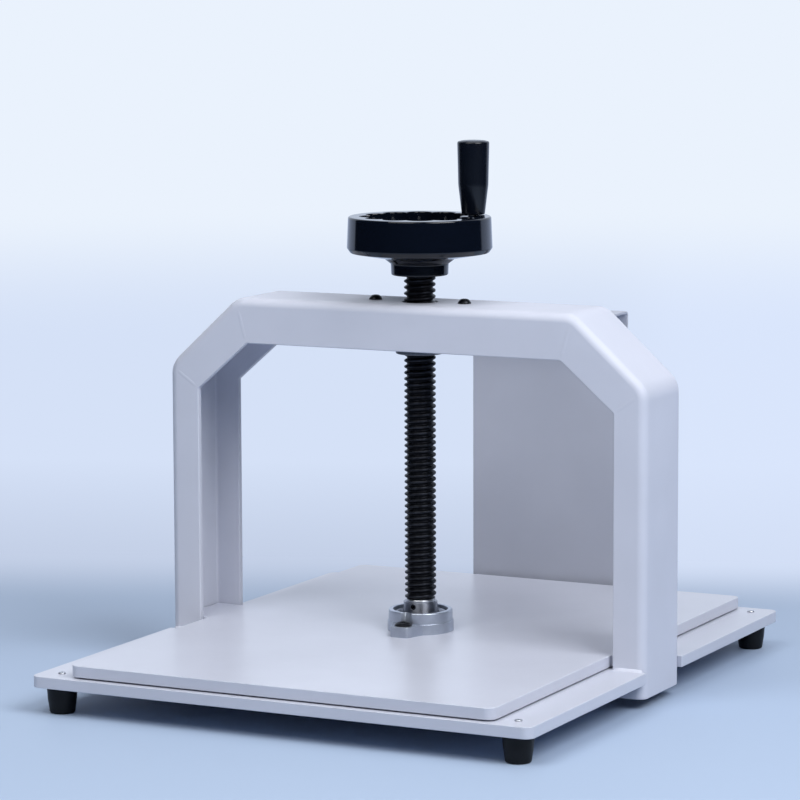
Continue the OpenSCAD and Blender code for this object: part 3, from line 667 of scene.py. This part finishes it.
base_outline = both_halves([
    (BASE_X, -BASE_Y, PLATE_R), (BASE_X, -ARCH_HALF, 0), (LEG_IN, -ARCH_HALF, 0),
    (LEG_IN, ARCH_HALF, 0), (BASE_X, ARCH_HALF, 0), (BASE_X, BASE_Y, PLATE_R),
])
base = piece("base_plate_steel", *plate(base_outline, BASE_BOTTOM, BASE_TOP), plate_coat)
soften(base, PLATE_EDGE)
fitted(base, "frame", "grey_paint", "base_plate")

# %% Platen
platen_low, platen_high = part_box("platen")
TONGUE_X, PLATEN_Y, PLATEN_TOP = (c / MM for c in platen_high)
PLATEN_BOTTOM = platen_low.z / MM
PLATEN_X = 160.0
TONGUE_Y = 26.7
platen_outline = both_halves([
    (PLATEN_X, -PLATEN_Y, PLATE_R), (PLATEN_X, -TONGUE_Y, 1.0), (TONGUE_X, -TONGUE_Y, 2.0),
    (TONGUE_X, TONGUE_Y, 2.0), (PLATEN_X, TONGUE_Y, 1.0), (PLATEN_X, PLATEN_Y, PLATE_R),
])
platen = piece("platen_steel", *plate(platen_outline, PLATEN_BOTTOM, PLATEN_TOP), plate_coat)
soften(platen, PLATE_EDGE)
fitted(platen, "platen_carriage", "grey_paint", "platen")

# %% [markdown]
# ## The arch
# The arch is a channel with its open side inwards: a web on the outside and a flange at
# the front and the back. Its outer edges are rounded by the press brake, and the web turns
# the corners in tight bends. A sweep along the outline follows the real forming: each ring is one
# cross-section, from the outer outline in to the inner one.

# %% Arch rings
ARCH_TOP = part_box("arch_beam")[1].z / MM
LEG_FOOT = leg_low.z / MM
SHEET = 4.5
INNER_FILLET = 2.0
EDGE_R = SHEET + INNER_FILLET
BEND_R = 18.0
BEND_STEPS = 8
# How far the slanted corners reach down and along, on the outside and on the inside
CORNER_DROP = 50.0
CORNER_RUN = 55.0
INNER_DROP = 34.5
INNER_RUN = 40.0
BEAM_BOTTOM = ARCH_TOP - 32.5
CORNER_LOW = Vector((LEG_OUT, ARCH_TOP - CORNER_DROP))
CORNER_HIGH = Vector((LEG_OUT - CORNER_RUN, ARCH_TOP))
INNER_LOW = Vector((LEG_IN, BEAM_BOTTOM - INNER_DROP))
INNER_HIGH = Vector((LEG_IN - INNER_RUN, BEAM_BOTTOM))
SLANT = math.atan2(CORNER_RUN, CORNER_DROP)
low_centre = CORNER_LOW - Vector((BEND_R, BEND_R * math.tan(SLANT / 2)))
high_centre = CORNER_HIGH - Vector((BEND_R * math.tan((math.pi / 2 - SLANT) / 2), BEND_R))


def bend(centre, start, end, inner):
    """Rings of one bend: outer point, direction inwards, and inner point."""
    rings = []
    for k in range(BEND_STEPS + 1):
        angle = start + (end - start) * k / BEND_STEPS
        out = Vector((math.cos(angle), math.sin(angle)))
        rings.append((centre + BEND_R * out, -out, inner))
    return rings


half_arch = [(Vector((LEG_OUT, LEG_FOOT)), Vector((-1, 0)), Vector((LEG_IN, LEG_FOOT)))]
half_arch += bend(low_centre, 0.0, SLANT, INNER_LOW)
half_arch += bend(high_centre, SLANT, math.pi / 2, INNER_HIGH)
mirror_x = Vector((-1, 1))
arch_rings = half_arch + [(o * mirror_x, n * mirror_x, i * mirror_x) for o, n, i in reversed(half_arch)]
print("arch rings:", len(arch_rings))


# %% Arch section
def quarter(centre_a, centre_n, r, start, end, steps=6):
    """Points (across, inwards) of an arc in the channel's section."""
    angles = [math.radians(start + (end - start) * k / steps) for k in range(steps + 1)]
    return [(centre_a + r * math.cos(t), centre_n + r * math.sin(t)) for t in angles]


def skin(section, out_point, inwards):
    """Points of a part of the section, set at one ring."""
    places = [(a, out_point + inwards * n) for a, n in section]
    return [(at.x, a, at.y) for a, at in places]


flat_half = ARCH_HALF - EDGE_R
inside = ARCH_HALF - SHEET
fillet_half = inside - INNER_FILLET
outer_skin = quarter(-flat_half, EDGE_R, EDGE_R, 180, 270)
outer_skin += quarter(flat_half, EDGE_R, EDGE_R, 270, 360)
inner_skin = quarter(fillet_half, EDGE_R, INNER_FILLET, 0, -90)
inner_skin += quarter(-fillet_half, EDGE_R, INNER_FILLET, 270, 180)
print("points of the section's bends:", len(outer_skin) + len(inner_skin))

# %% Arch sweep
arch_points = []
for out_point, inwards, in_point in arch_rings:
    ring_points = [(in_point.x, -ARCH_HALF, in_point.y)]
    ring_points += skin(outer_skin, out_point, inwards)
    ring_points += [(in_point.x, ARCH_HALF, in_point.y), (in_point.x, inside, in_point.y)]
    ring_points += skin(inner_skin, out_point, inwards)
    ring_points.append((in_point.x, -inside, in_point.y))
    arch_points += ring_points
count = len(ring_points)
arch_faces = [tuple(range(count)), tuple(range(len(arch_points) - count, len(arch_points)))]
for ring_index in range(len(arch_rings) - 1):
    near = ring_index * count
    far = near + count
    for i in range(count):
        n = (i + 1) % count
        arch_faces.append((near + i, near + n, far + n, far + i))
arch = piece("arch_channel", arch_points, arch_faces, powder_coat)

BEAM_HOLE_R = 12.5
carved(arch, plug("drill", BEAM_HOLE_R, ARCH_TOP - 8, ARCH_TOP + 4, powder_coat))
soften(arch, 0.7)
fitted(arch, "frame", "grey_paint", "arch_leg_left", "arch_leg_right", "arch_corner_left",
       "arch_corner_right", "arch_beam")

# %% [markdown]
# ## Weld beads
# The arch is welded from five lengths of channel, cut at a slant, and each leg is welded to the
# base. The joints are ground nearly flat before painting, so only low ridges are left.
# A bead is a shallow arch carried along a line, and it swells and fades at its ends.


# %% One bead
def bead(start, end, half_width, height, across, out, steps=24, arcs=8):
    """Points and faces of a low ridge from start to end, raised along the direction out."""
    start, end, across, out = (Vector(v) for v in (start, end, across, out))
    points = []
    for k in range(steps + 1):
        share = k / steps
        swell = min(1.0, 5 * share, 5 * (1 - share)) ** 0.5
        ripple = 1.0 + 0.06 * math.sin(2.4 * k)
        middle = start.lerp(end, share)
        for a in range(arcs + 1):
            turn = math.pi * a / arcs
            side = across * (math.cos(turn) * half_width * (0.4 + 0.6 * swell))
            rise = out * (math.sin(turn) * height * swell * ripple - 0.1)
            points.append(tuple(middle + side + rise))
    count = arcs + 1
    faces = [tuple(range(count)), tuple(range(steps * count, steps * count + count))]
    for k in range(steps):
        for a in range(count):
            b = (a + 1) % count
            faces.append((k * count + a, k * count + b, (k + 1) * count + b, (k + 1) * count + a))
    return points, faces


def gathered(parts):
    """Points and faces of several parts as one."""
    points = []
    faces = []
    for part_points, part_faces in parts:
        offset = len(points)
        points += part_points
        faces += [tuple(i + offset for i in face) for face in part_faces]
    return points, faces


print("faces of two parts as one:", len(gathered([plate(SQUARE, 0, 1)] * 2)[1]))

# %% Beads in their places
# Half width and height of each kind of bead
MITRE_BEAD = (1.6, 0.20)
SEAT_BEAD = (2.6, 1.5)
SLOPE = 0.7071
mitres = []
seat_welds = []
for side in (-1, 1):
    for face in (-1, 1):
        wall = face * ARCH_HALF
        for outer, inner in ((CORNER_LOW, INNER_LOW), (CORNER_HIGH, INNER_HIGH)):
            run = (inner - outer).normalized()
            first = outer + run * (EDGE_R + 1.0)
            last = inner - run * 0.8
            ends = ((side * first.x, wall, first.y), (side * last.x, wall, last.y))
            mitres.append(bead(*ends, *MITRE_BEAD, (side * -run.y, 0.0, run.x), (0, face, 0)))
        ends = ((side * (LEG_IN + 0.5), wall, BASE_TOP), (side * (LEG_OUT - 2.0), wall, BASE_TOP))
        seat_welds.append(bead(*ends, *SEAT_BEAD, (0, face * SLOPE, -SLOPE), (0, face * SLOPE, SLOPE)))
for name, welds in (("mitre_weld_beads", mitres), ("leg_foot_weld_beads", seat_welds)):
    fitted(piece(name, *gathered(welds), powder_coat), "frame", "grey_paint")

# %% [markdown]
# ## Back panel
# A thin sheet stands at the back edge of the base, and its top is folded forward into a lip.
# It is one folded strip, so its side view is drawn once and carried across its width.

# %% Back panel
panel_low, panel_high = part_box("back_panel")
PANEL_X, PANEL_BACK, PANEL_TOP = (c / MM for c in panel_high)
PANEL_LIP = panel_low.y / MM
PANEL_FOOT = panel_low.z / MM
PANEL_SHEET = 2.0
PANEL_FOLD = 3.5
PANEL_FRONT = PANEL_BACK - PANEL_SHEET
LIP_UNDERSIDE = PANEL_TOP - PANEL_SHEET
panel_side = rounded([
    (PANEL_FRONT, PANEL_FOOT, 0), (PANEL_BACK, PANEL_FOOT, 0), (PANEL_BACK, PANEL_TOP, PANEL_FOLD),
    (PANEL_LIP, PANEL_TOP, 0), (PANEL_LIP, LIP_UNDERSIDE, 0),
    (PANEL_FRONT, LIP_UNDERSIDE, PANEL_FOLD - PANEL_SHEET),
], 8)
side_points, panel_faces = plate(panel_side, -PANEL_X, PANEL_X)
panel = piece("back_panel_sheet", [(x, y, z) for y, z, x in side_points], panel_faces, panel_shade_coat)
soften(panel, 0.4, 2)
fitted(panel, "frame", "grey_paint", "back_panel")

# %% [markdown]
# ## Feet
# The feet are tapered rubber bumpers with a screw through the middle. A lathe profile with round
# corners gives the soft edge at the floor.

# %% Feet
foot_low, foot_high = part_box("foot_front_right")
FOOT_X = (foot_low.x + foot_high.x) / 2 / MM
FOOT_Y = -(foot_low.y + foot_high.y) / 2 / MM
FOOT_TOP = foot_high.z / MM
FOOT_TOP_R = (foot_high.x - foot_low.x) / 2 / MM
FOOT_BORE_R = 1.8
FOOT_HOLLOW_R = 5.0
FOOT_HOLLOW_TOP = 8.0
foot_profile = rounded([
    (FOOT_HOLLOW_R, 0.0, 0.6), (8.6, 0.0, 1.4), (10.0, 9.5, 8.0), (FOOT_TOP_R, FOOT_TOP, 0.4),
    (FOOT_BORE_R, FOOT_TOP, 0), (FOOT_BORE_R, FOOT_HOLLOW_TOP, 0), (FOOT_HOLLOW_R, FOOT_HOLLOW_TOP, 0),
], 6)
foot = piece("foot_pattern", *turned(foot_profile, 64, ring=True), rubber)
FEET = [(x * FOOT_X, y * FOOT_Y, 0.0) for x in (-1, 1) for y in (-1, 1)]
feet = copies("rubber_feet", foot, FEET, rubber)
fitted(feet, "frame", "black_rubber", "foot_front_left", "foot_front_right", "foot_back_left",
       "foot_back_right")

# %% [markdown]
# ## Screw heads
# Two kinds show: low pan heads with a cross slot on the base and the panel, and domed button heads
# with a hexagon socket on the beam and the bearing. The slot and the socket are real hollows,
# made by letting the lathe's radius follow a cross or a hexagon.


# %% Screw patterns
def pan_head(head_r, head_h, shank_r, length):
    """Profile of a pan-head screw on a seat at height 0."""
    slot_r = 0.55 * head_r
    return [
        (0, -length), (shank_r, -length), (shank_r, 0), (head_r - 0.1, 0), (head_r, 0.12),
        (head_r, 0.45 * head_h), (0.93 * head_r, 0.78 * head_h), (0.8 * head_r, 0.94 * head_h),
        (0.62 * head_r, head_h), (slot_r, head_h, cross), (0.8 * slot_r, 0.35 * head_h, cross),
        (0, 0.3 * head_h),
    ]


def button_head(head_r, head_h, socket_r, shank_r, length):
    """Profile of a button-head screw on a seat at height 0."""
    dome = []
    for k in range(9):
        t = k / 8
        r = head_r - (head_r - 1.25 * socket_r) * t
        dome.append((r, 0.18 * head_h + 0.82 * head_h * math.sin(t * math.pi / 2) ** 0.9))
    shank = [(0, -length), (shank_r, -length), (shank_r, 0), (head_r - 0.15, 0), (head_r, 0.12)]
    socket = [(1.06 * socket_r, head_h, hexagon), (socket_r, 0.94 * head_h, hexagon),
              (socket_r, 0.42 * head_h, hexagon), (0, 0.34 * head_h)]
    return shank + dome + socket


def screws(name, profile, places, material, body, slot, node, lying=False):
    """Copies of one screw, upright or lying with its head to the back, for a CAD node."""
    points, faces = turned(profile, 48)
    if lying:
        points = [(x, z, -y) for x, y, z in points]
    pattern = piece("pattern", points, faces, material)
    fitted(copies(name, pattern, places, material), body, slot, node)


print("screw heads:", pan_head.__name__, button_head.__name__)

# %% Screws in their places
FLANGE_TOP = PLATEN_TOP + 7.5
NUT_SCREW_X = 35.0
BOLT_Y = 28.0
PANEL_SCREW_X = 48.0
PANEL_SCREW_Z = (BASE_BOTTOM + BASE_TOP) / 2

foot_screw = pan_head(head_r=2.6, head_h=1.1, shank_r=1.5, length=20.0)
screws("foot_screw_heads", foot_screw, [(x, y, BASE_TOP) for x, y, z in FEET], plated,
       "frame", "plated_steel", "foot_screws")
nut_screw = button_head(head_r=4.75, head_h=3.3, socket_r=1.5, shank_r=2.5, length=11.5)
screws("beam_button_screws", nut_screw, [(x, 0, ARCH_TOP) for x in (-NUT_SCREW_X, NUT_SCREW_X)],
       black_bolt, "frame", "black_steel", "nut_screws")
bearing_bolt = button_head(head_r=6.2, head_h=2.5, socket_r=2.3, shank_r=3.0, length=14.5)
screws("bearing_button_bolts", bearing_bolt, [(0, y, FLANGE_TOP) for y in (-BOLT_Y, BOLT_Y)],
       black_bolt, "platen_carriage", "black_steel", "bearing_bolts")
panel_screw = pan_head(head_r=4.0, head_h=2.4, shank_r=2.0, length=14.0)
panel_places = [(x, PANEL_BACK, PANEL_SCREW_Z) for x in (-PANEL_SCREW_X, PANEL_SCREW_X)]
screws("panel_screw_heads", panel_screw, panel_places, plated, "frame", "plated_steel",
       "panel_screws", lying=True)

# %% [markdown]
# ## The screw
# The thread is a right-hand helix with narrow flat crests and sloping sides. Its surface is a
# sheared grid: each step round the axis lifts the profile by a share of the pitch, so the last
# column meets the first one a whole pitch higher and the helix closes without a seam.

# %% Thread profile
PITCH = 4.35
RING_COLLAR_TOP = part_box("bearing_inner_ring")[1].z / MM
THREAD_LOW = RING_COLLAR_TOP + 2.0
THREAD_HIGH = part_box("handwheel")[0].z / MM
THREAD_COLUMNS = 48
# Stations of one tooth: share of the pitch, and height from the root to the crest
TOOTH = [(0.0, 0.0), (0.14, 0.0), (0.22, 0.12), (0.36, 0.72), (0.43, 0.93), (0.51, 1.0),
         (0.63, 1.0), (0.71, 0.93), (0.78, 0.72), (0.92, 0.12), (1.0, 0.0)]
STATIONS = len(TOOTH) - 1
# Share of a turn at which the thread starts, which sets the height of each crest at the front
THREAD_START = -0.23
# The thread rises from a low step at both of its ends, by this much for each millimetre
END_STEP = 0.2
END_SLOPE = 2.4


def tooth_height(phase):
    """Height of the thread's profile, from 0 at the root to 1 at the crest."""
    phase %= 1.0
    for (p0, h0), (p1, h1) in zip(TOOTH, TOOTH[1:]):
        if phase <= p1:
            return h0 + (h1 - h0) * (phase - p0) / (p1 - p0)
    return 0.0


print("height in the middle of the crest:", tooth_height(0.57))

# %% Thread grid
thread_points = []
thread_faces = []
turns = int((THREAD_HIGH - THREAD_LOW) / PITCH) + 2
rows = turns * STATIONS + 1
for j in range(THREAD_COLUMNS + 1):
    share = j / THREAD_COLUMNS
    angle = 2 * math.pi * (share + THREAD_START)
    for i in range(rows):
        phase = TOOTH[i % STATIONS][0] + i // STATIONS
        z = THREAD_LOW - PITCH + (phase + share) * PITCH
        z = min(max(z, THREAD_LOW), THREAD_HIGH)
        rise = tooth_height((z - THREAD_LOW) / PITCH - share)
        r = ROOT_R + rise * (CREST_R - ROOT_R)
        to_end = min(z - THREAD_LOW, THREAD_HIGH - z)
        r = min(r, ROOT_R + END_STEP + to_end * END_SLOPE)
        thread_points.append((r * math.cos(angle), r * math.sin(angle), z))
for j in range(THREAD_COLUMNS):
    for i in range(rows - 1):
        a = j * rows + i
        thread_faces.append((a, a + rows, a + rows + 1, a + 1))
print("thread turns:", round((THREAD_HIGH - THREAD_LOW) / PITCH, 1))

# %% Thread
spindle = piece("screw_thread", thread_points, thread_faces, black_steel, 50.0)
bm = bmesh.new()
bm.from_mesh(spindle.data)
rims = bmesh.ops.holes_fill(bm, edges=[e for e in bm.edges if e.is_boundary], sides=0)
bmesh.ops.recalc_face_normals(bm, faces=bm.faces)
open_edges = sum(e.is_boundary for e in bm.edges)
bm.to_mesh(spindle.data)
bm.free()
print("thread faces", len(spindle.data.polygons), "caps", len(rims["faces"]), "open edges", open_edges)
fitted(spindle, "screw_and_wheel", "black_steel", "screw_spindle")

# %% Neck and stud
screw_low, screw_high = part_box("screw_spindle")
SCREW_FOOT = screw_low.z / MM
SCREW_TOP = screw_high.z / MM
JOURNAL_R = 8.45
NECK_R = 10.6
WHEEL_SEAT_R = 8.0
STUD_R = 6.0
SHOULDER = THREAD_HIGH + 26
neck_profile = rounded([
    (0, SCREW_FOOT, 0), (JOURNAL_R, SCREW_FOOT, 0.6), (JOURNAL_R, RING_COLLAR_TOP, 0),
    (NECK_R, RING_COLLAR_TOP, 0.2), (NECK_R, THREAD_LOW + 0.2, 1.2), (0, THREAD_LOW + 0.2, 0),
], 6)
fitted(piece("screw_neck", *turned(neck_profile, 64), plated), "screw_and_wheel", "plated_steel")
stud_profile = rounded([
    (0, THREAD_HIGH - 0.1, 0), (WHEEL_SEAT_R, THREAD_HIGH - 0.1, 0), (WHEEL_SEAT_R, SHOULDER, 0.4),
    (STUD_R, SHOULDER, 0), (STUD_R, SCREW_TOP, 0.8), (0, SCREW_TOP, 0),
], 4)
fitted(piece("screw_stud", *turned(stud_profile, 64), plated), "screw_and_wheel", "plated_steel")

# %% [markdown]
# ## Nut
# A flanged nut hangs under the beam, and only the end of its barrel shows below it.

# %% Nut
nut_low, nut_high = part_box("spindle_nut")
NUT_BOTTOM = nut_low.z / MM
NUT_TOP = nut_high.z / MM
NUT_FLANGE_LOW = NUT_TOP - 8.0
NUT_BORE_R = 11.4
NUT_R = 17.2
NUT_FLANGE_X = 45
NUT_FLANGE_Y = 21
barrel_profile = rounded([
    (NUT_BORE_R, NUT_BOTTOM, 0.5), (NUT_R, NUT_BOTTOM, 0.8), (NUT_R, NUT_FLANGE_LOW + 1, 0),
    (NUT_BORE_R, NUT_FLANGE_LOW + 1, 0),
], 4)
nut = piece("nut_barrel", *turned(barrel_profile, 64, ring=True), iron)
flange_corners = [(x * NUT_FLANGE_X, y * NUT_FLANGE_Y, 4) for x, y in SQUARE]
flange = piece("nut_flange", *plate(rounded(flange_corners, 6), NUT_FLANGE_LOW, NUT_TOP), iron)
carved(flange, plug("bore", NUT_BORE_R, NUT_FLANGE_LOW - 20, NUT_TOP + 20, iron))
carved(nut, flange, "UNION")
soften(nut, 0.5, 2)
fitted(nut, "frame", "cast_iron", "spindle_nut")

# %% [markdown]
# ## Bearing
# A two-bolt flange bearing carries the end of the screw on the platen. Its cast housing has
# a round ring and an ear for each bolt, and the bolt heads sit in small round pockets cut into
# the ring. The ground collar in the middle turns with the screw.

# %% Flange of the bearing
FLANGE_R = 23.6
RING_TOP = PLATEN_TOP + 15.4
SEAT_R = 17.55
CUTTER_TOP = RING_TOP + 8.6
EAR_ROOT_X = 11.7
EAR_TIP_X = 6.6
EAR_Y = 35.5
ARC_STEPS = 32
side_angle = math.acos(EAR_ROOT_X / FLANGE_R)
right_arc = [side_angle * (2 * k / ARC_STEPS - 1) for k in range(ARC_STEPS + 1)]
right_side = [(FLANGE_R * math.cos(t), FLANGE_R * math.sin(t)) for t in right_arc]
ear_root = FLANGE_R * math.sin(side_angle)
ear = rounded([(EAR_ROOT_X, ear_root, 0), (EAR_TIP_X, EAR_Y, 2.5), (-EAR_TIP_X, EAR_Y, 2.5),
               (-EAR_ROOT_X, ear_root, 0)], 8)
half_flange = right_side[:-1] + ear[:-1]
housing_outline = half_flange + [(-x, -y) for x, y in half_flange]
housing = piece("bearing_housing_cast", *plate(housing_outline, PLATEN_TOP, FLANGE_TOP), die_cast)
soften(housing, 0.4)
applied(housing)
carved(housing, plug("core", SEAT_R, PLATEN_TOP - 6, CUTTER_TOP, die_cast, 96))
print("faces of the flange:", len(housing.data.polygons))

# %% Ring of the bearing
RING_R = 22.9
RING_FOOT = PLATEN_TOP + 0.2
RING_LEDGE = PLATEN_TOP + 2.0
MOUTH_FLOOR = RING_TOP - 6.0
LEDGE_R = 14.6
POCKET_R = 6.8
ring_profile = rounded([
    (LEDGE_R, RING_FOOT, 0), (RING_R, RING_FOOT, 0), (RING_R, RING_TOP, 1.0), (19.6, RING_TOP, 0.4),
    (19.5, MOUTH_FLOOR, 0.4), (SEAT_R, MOUTH_FLOOR, 0), (SEAT_R, RING_LEDGE, 0), (LEDGE_R, RING_LEDGE, 0),
], 4)
ring = piece("housing_ring", *turned(ring_profile, 96, ring=True), die_cast)
for y in (-BOLT_Y, BOLT_Y):
    carved(ring, plug("pocket", POCKET_R, FLANGE_TOP, CUTTER_TOP, die_cast, centre=(0, y)))
carved(housing, ring, "UNION")
shaded_again(housing)
fitted(housing, "platen_carriage", "zinc_alloy", "bearing_housing")

# %% Edge of the outer race
RACE_FOOT = RING_TOP - 6.5
RACE_TOP = RING_TOP - 1.9
RACE_R = 18.0
RACE_BORE_R = 14.8
race_profile = rounded([
    (RACE_BORE_R, RACE_FOOT, 0), (RACE_R, RACE_FOOT, 0), (RACE_R, RACE_TOP, 0.4),
    (15.9, RACE_TOP, 0.3), (RACE_BORE_R, RACE_TOP - 1.3, 0.3),
], 4)
fitted(piece("outer_race_edge", *turned(race_profile, 96, ring=True), ground_steel),
       "platen_carriage", "bearing_steel")

# %% Kept CAD pieces
for material, *nodes in (
    (ground_steel, "bearing_outer_ring", "bearing_balls", "bearing_shields", "bearing_inner_ring"),
    (brass, "bearing_cage"), (black_steel, "grub_screws"),
    (plated, "foot_washers", "foot_nuts", "hub_bush", "wheel_key"),
):
    for node in nodes:
        node_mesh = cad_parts[node].data
        node_mesh.materials.clear()
        node_mesh.materials.append(material)
print("kept CAD pieces have their finishes")

# %% [markdown]
# ## Handwheel
# The wheel is a dished moulding: a hub below, a disc whose underside rises towards the rim, and a
# tall rim with finger waves inside. One profile is turned about the axis, and the points inside
# the rim swing in and out along the turn, so the waves belong to the same skin as the rest.

# %% Handwheel
wheel_low, wheel_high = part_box("handwheel")
WHEEL_R = wheel_high.x / MM
HUB_BOTTOM = wheel_low.z / MM
WHEEL_TOP = wheel_high.z / MM
DISC_TOP = HUB_BOTTOM + 21.0
BOSS_TOP = DISC_TOP + 6.0
BUSH_R = 13.05
WAVES = 12
WAVE_R = 36.0
WAVE_DEPTH = 6.5
WAVE_TURN = math.radians(26.6)
WHEEL_STEPS = WAVES * 26


def wave(r, angle):
    """Radius inside the rim, with a round hollow for each finger."""
    return r + WAVE_DEPTH * abs(math.cos(WAVES * (angle - WAVE_TURN) / 2)) ** 0.7


outside = rounded([
    (BUSH_R, HUB_BOTTOM, 0.4), (20.2, HUB_BOTTOM, 1.2), (20.5, HUB_BOTTOM + 8.0, 1.0),
    (25.5, HUB_BOTTOM + 11.8, 2.0), (49.2, HUB_BOTTOM + 16.0, 1.6), (WHEEL_R, HUB_BOTTOM + 19.2, 2.0),
    (WHEEL_R - 0.9, WHEEL_TOP, 1.3), (WAVE_R, WHEEL_TOP, 0),
], 8)
waves = [(WAVE_R + r, z, wave) for r, z in (
    (0.9, WHEEL_TOP), (0.5, WHEEL_TOP - 0.1), (0.2, WHEEL_TOP - 0.4), (0.0, WHEEL_TOP - 0.9),
    (-0.3, DISC_TOP + 2.0), (-0.9, DISC_TOP + 0.5), (-2.2, DISC_TOP))]
dish = rounded([
    (32.0, DISC_TOP, 0), (17.6, DISC_TOP, 2.0), (17.0, BOSS_TOP, 1.0),
    (BUSH_R, BOSS_TOP, 0.4), (BUSH_R, HUB_BOTTOM + 1, 0),
], 6)
# The last points of the outside and the dish only give the direction of the corner before them
wheel_profile = outside[:-1] + waves + dish[:-1]
wheel = piece("handwheel_moulding", *turned(wheel_profile, WHEEL_STEPS, ring=True), phenolic)
print("points of the wheel's profile:", len(wheel_profile))

# %% Boss of the handle
grip_low, grip_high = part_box("handle_grip")
HANDLE = ((grip_low.x + grip_high.x) / 2 / MM, (grip_low.y + grip_high.y) / 2 / MM)
BOSS_R = 9.5
BOSS_FOOT = DISC_TOP - 2
BOSS_FACE = WHEEL_TOP - 1
boss_profile = rounded([
    (0, BOSS_FOOT, 0), (BOSS_R + 0.6, BOSS_FOOT, 0), (BOSS_R, BOSS_FACE, 1.2), (0, BOSS_FACE, 0),
], 6)
carved(wheel, piece("handle_boss", *turned(boss_profile, 64, HANDLE), phenolic), "UNION")
shaded_again(wheel)
fitted(wheel, "screw_and_wheel", "black_bakelite", "handwheel")

# %% [markdown]
# ## Nut in the dish, and the handle
# A washer and a hexagon nut hold the wheel down on the screw. The handle's grip turns freely on
# a shoulder bolt, and a domed cap closes its top.

# %% Washer, nut and bolt
WASHER_R = 13.0
WASHER_BORE_R = 6.3
WASHER_TOP = BOSS_TOP + 2.0
washer_profile = rounded([
    (WASHER_BORE_R, BOSS_TOP, 0.1), (WASHER_R, BOSS_TOP, 0.1), (WASHER_R, WASHER_TOP, 0.5),
    (WASHER_BORE_R, WASHER_TOP, 0.3),
], 3)
fitted(piece("wheel_washer_disc", *turned(washer_profile, 64, ring=True), plated),
       "screw_and_wheel", "plated_steel", "wheel_washer")

HEXAGON_R = 9.0
HEXAGON_TOP = WASHER_TOP + 7.0
hexagon_profile = [
    (6.05, WASHER_TOP + 0.4), (6.6, WASHER_TOP), (8.6, WASHER_TOP),
    (HEXAGON_R, WASHER_TOP + 0.5, hexagon), (HEXAGON_R, HEXAGON_TOP - 0.6, hexagon),
    (8.6, HEXAGON_TOP), (6.7, HEXAGON_TOP), (6.05, HEXAGON_TOP - 0.5),
]
fitted(piece("wheel_hexagon_nut", *turned(hexagon_profile, 96, ring=True), plated, 30.0),
       "screw_and_wheel", "plated_steel", "wheel_cap_nut")

bolt_low, bolt_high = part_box("handle_bolt")
BOLT_FOOT = bolt_low.z / MM
BOLT_TOP = bolt_high.z / MM
BOLT_R = 3.0
BOLT_SHOULDER_R = 4.0
BOLT_HEAD_R = 6.5
BOLT_HEAD = BOLT_TOP - 5
bolt_profile = rounded([
    (0, BOLT_FOOT, 0), (BOLT_R, BOLT_FOOT, 0.4), (BOLT_R, BOSS_FACE, 0), (BOLT_SHOULDER_R, BOSS_FACE, 0),
    (BOLT_SHOULDER_R, BOLT_HEAD, 0), (BOLT_HEAD_R, BOLT_HEAD, 0.3), (BOLT_HEAD_R, BOLT_TOP, 0.5),
    (0, BOLT_TOP, 0),
], 3)
fitted(piece("handle_shoulder_bolt", *turned(bolt_profile, 48, HANDLE), plated),
       "screw_and_wheel", "plated_steel", "handle_bolt")

# %% Handle
GRIP_FOOT = grip_low.z / MM
GRIP_TOP = grip_high.z / MM
GRIP_R = (grip_high.x - grip_low.x) / 2 / MM
GRIP_BORE_R = 4.1
HEAD_ROOM_R = 7.5
HEAD_ROOM_FLOOR = GRIP_TOP - 12.35
CAP_SEAT_R = 9.65
CAP_SEAT = GRIP_TOP - 3
grip_profile = rounded([
    (GRIP_BORE_R, GRIP_FOOT, 0.3), (8.2, GRIP_FOOT, 0.9), (10.7, GRIP_FOOT + 21, 30.0),
    (11.0, GRIP_FOOT + 36, 40.0), (GRIP_R, GRIP_TOP, 1.3), (CAP_SEAT_R, GRIP_TOP, 0.1),
    (CAP_SEAT_R, CAP_SEAT, 0), (HEAD_ROOM_R, CAP_SEAT, 0), (HEAD_ROOM_R, HEAD_ROOM_FLOOR, 0),
    (GRIP_BORE_R, HEAD_ROOM_FLOOR, 0),
], 6)
fitted(piece("handle_grip_moulding", *turned(grip_profile, 72, HANDLE, ring=True), held_phenolic),
       "grip", "black_bakelite", "handle_grip")

CAP_R = 9.55
CAP_DOME_R = 9.4
CAP_DOME_H = 0.8
CAP_RIM = GRIP_TOP + 0.05
cap_profile = [(0, CAP_SEAT + 0.1), (CAP_R, CAP_SEAT + 0.1), (CAP_R, GRIP_TOP - 0.1)]
for k in range(7):
    t = math.radians(15 * k)
    cap_profile.append((CAP_DOME_R * math.cos(t), CAP_RIM + CAP_DOME_H * math.sin(t)))
fitted(piece("handle_domed_cap", *turned(cap_profile, 72, HANDLE), held_phenolic),
       "grip", "black_bakelite", "handle_cap")
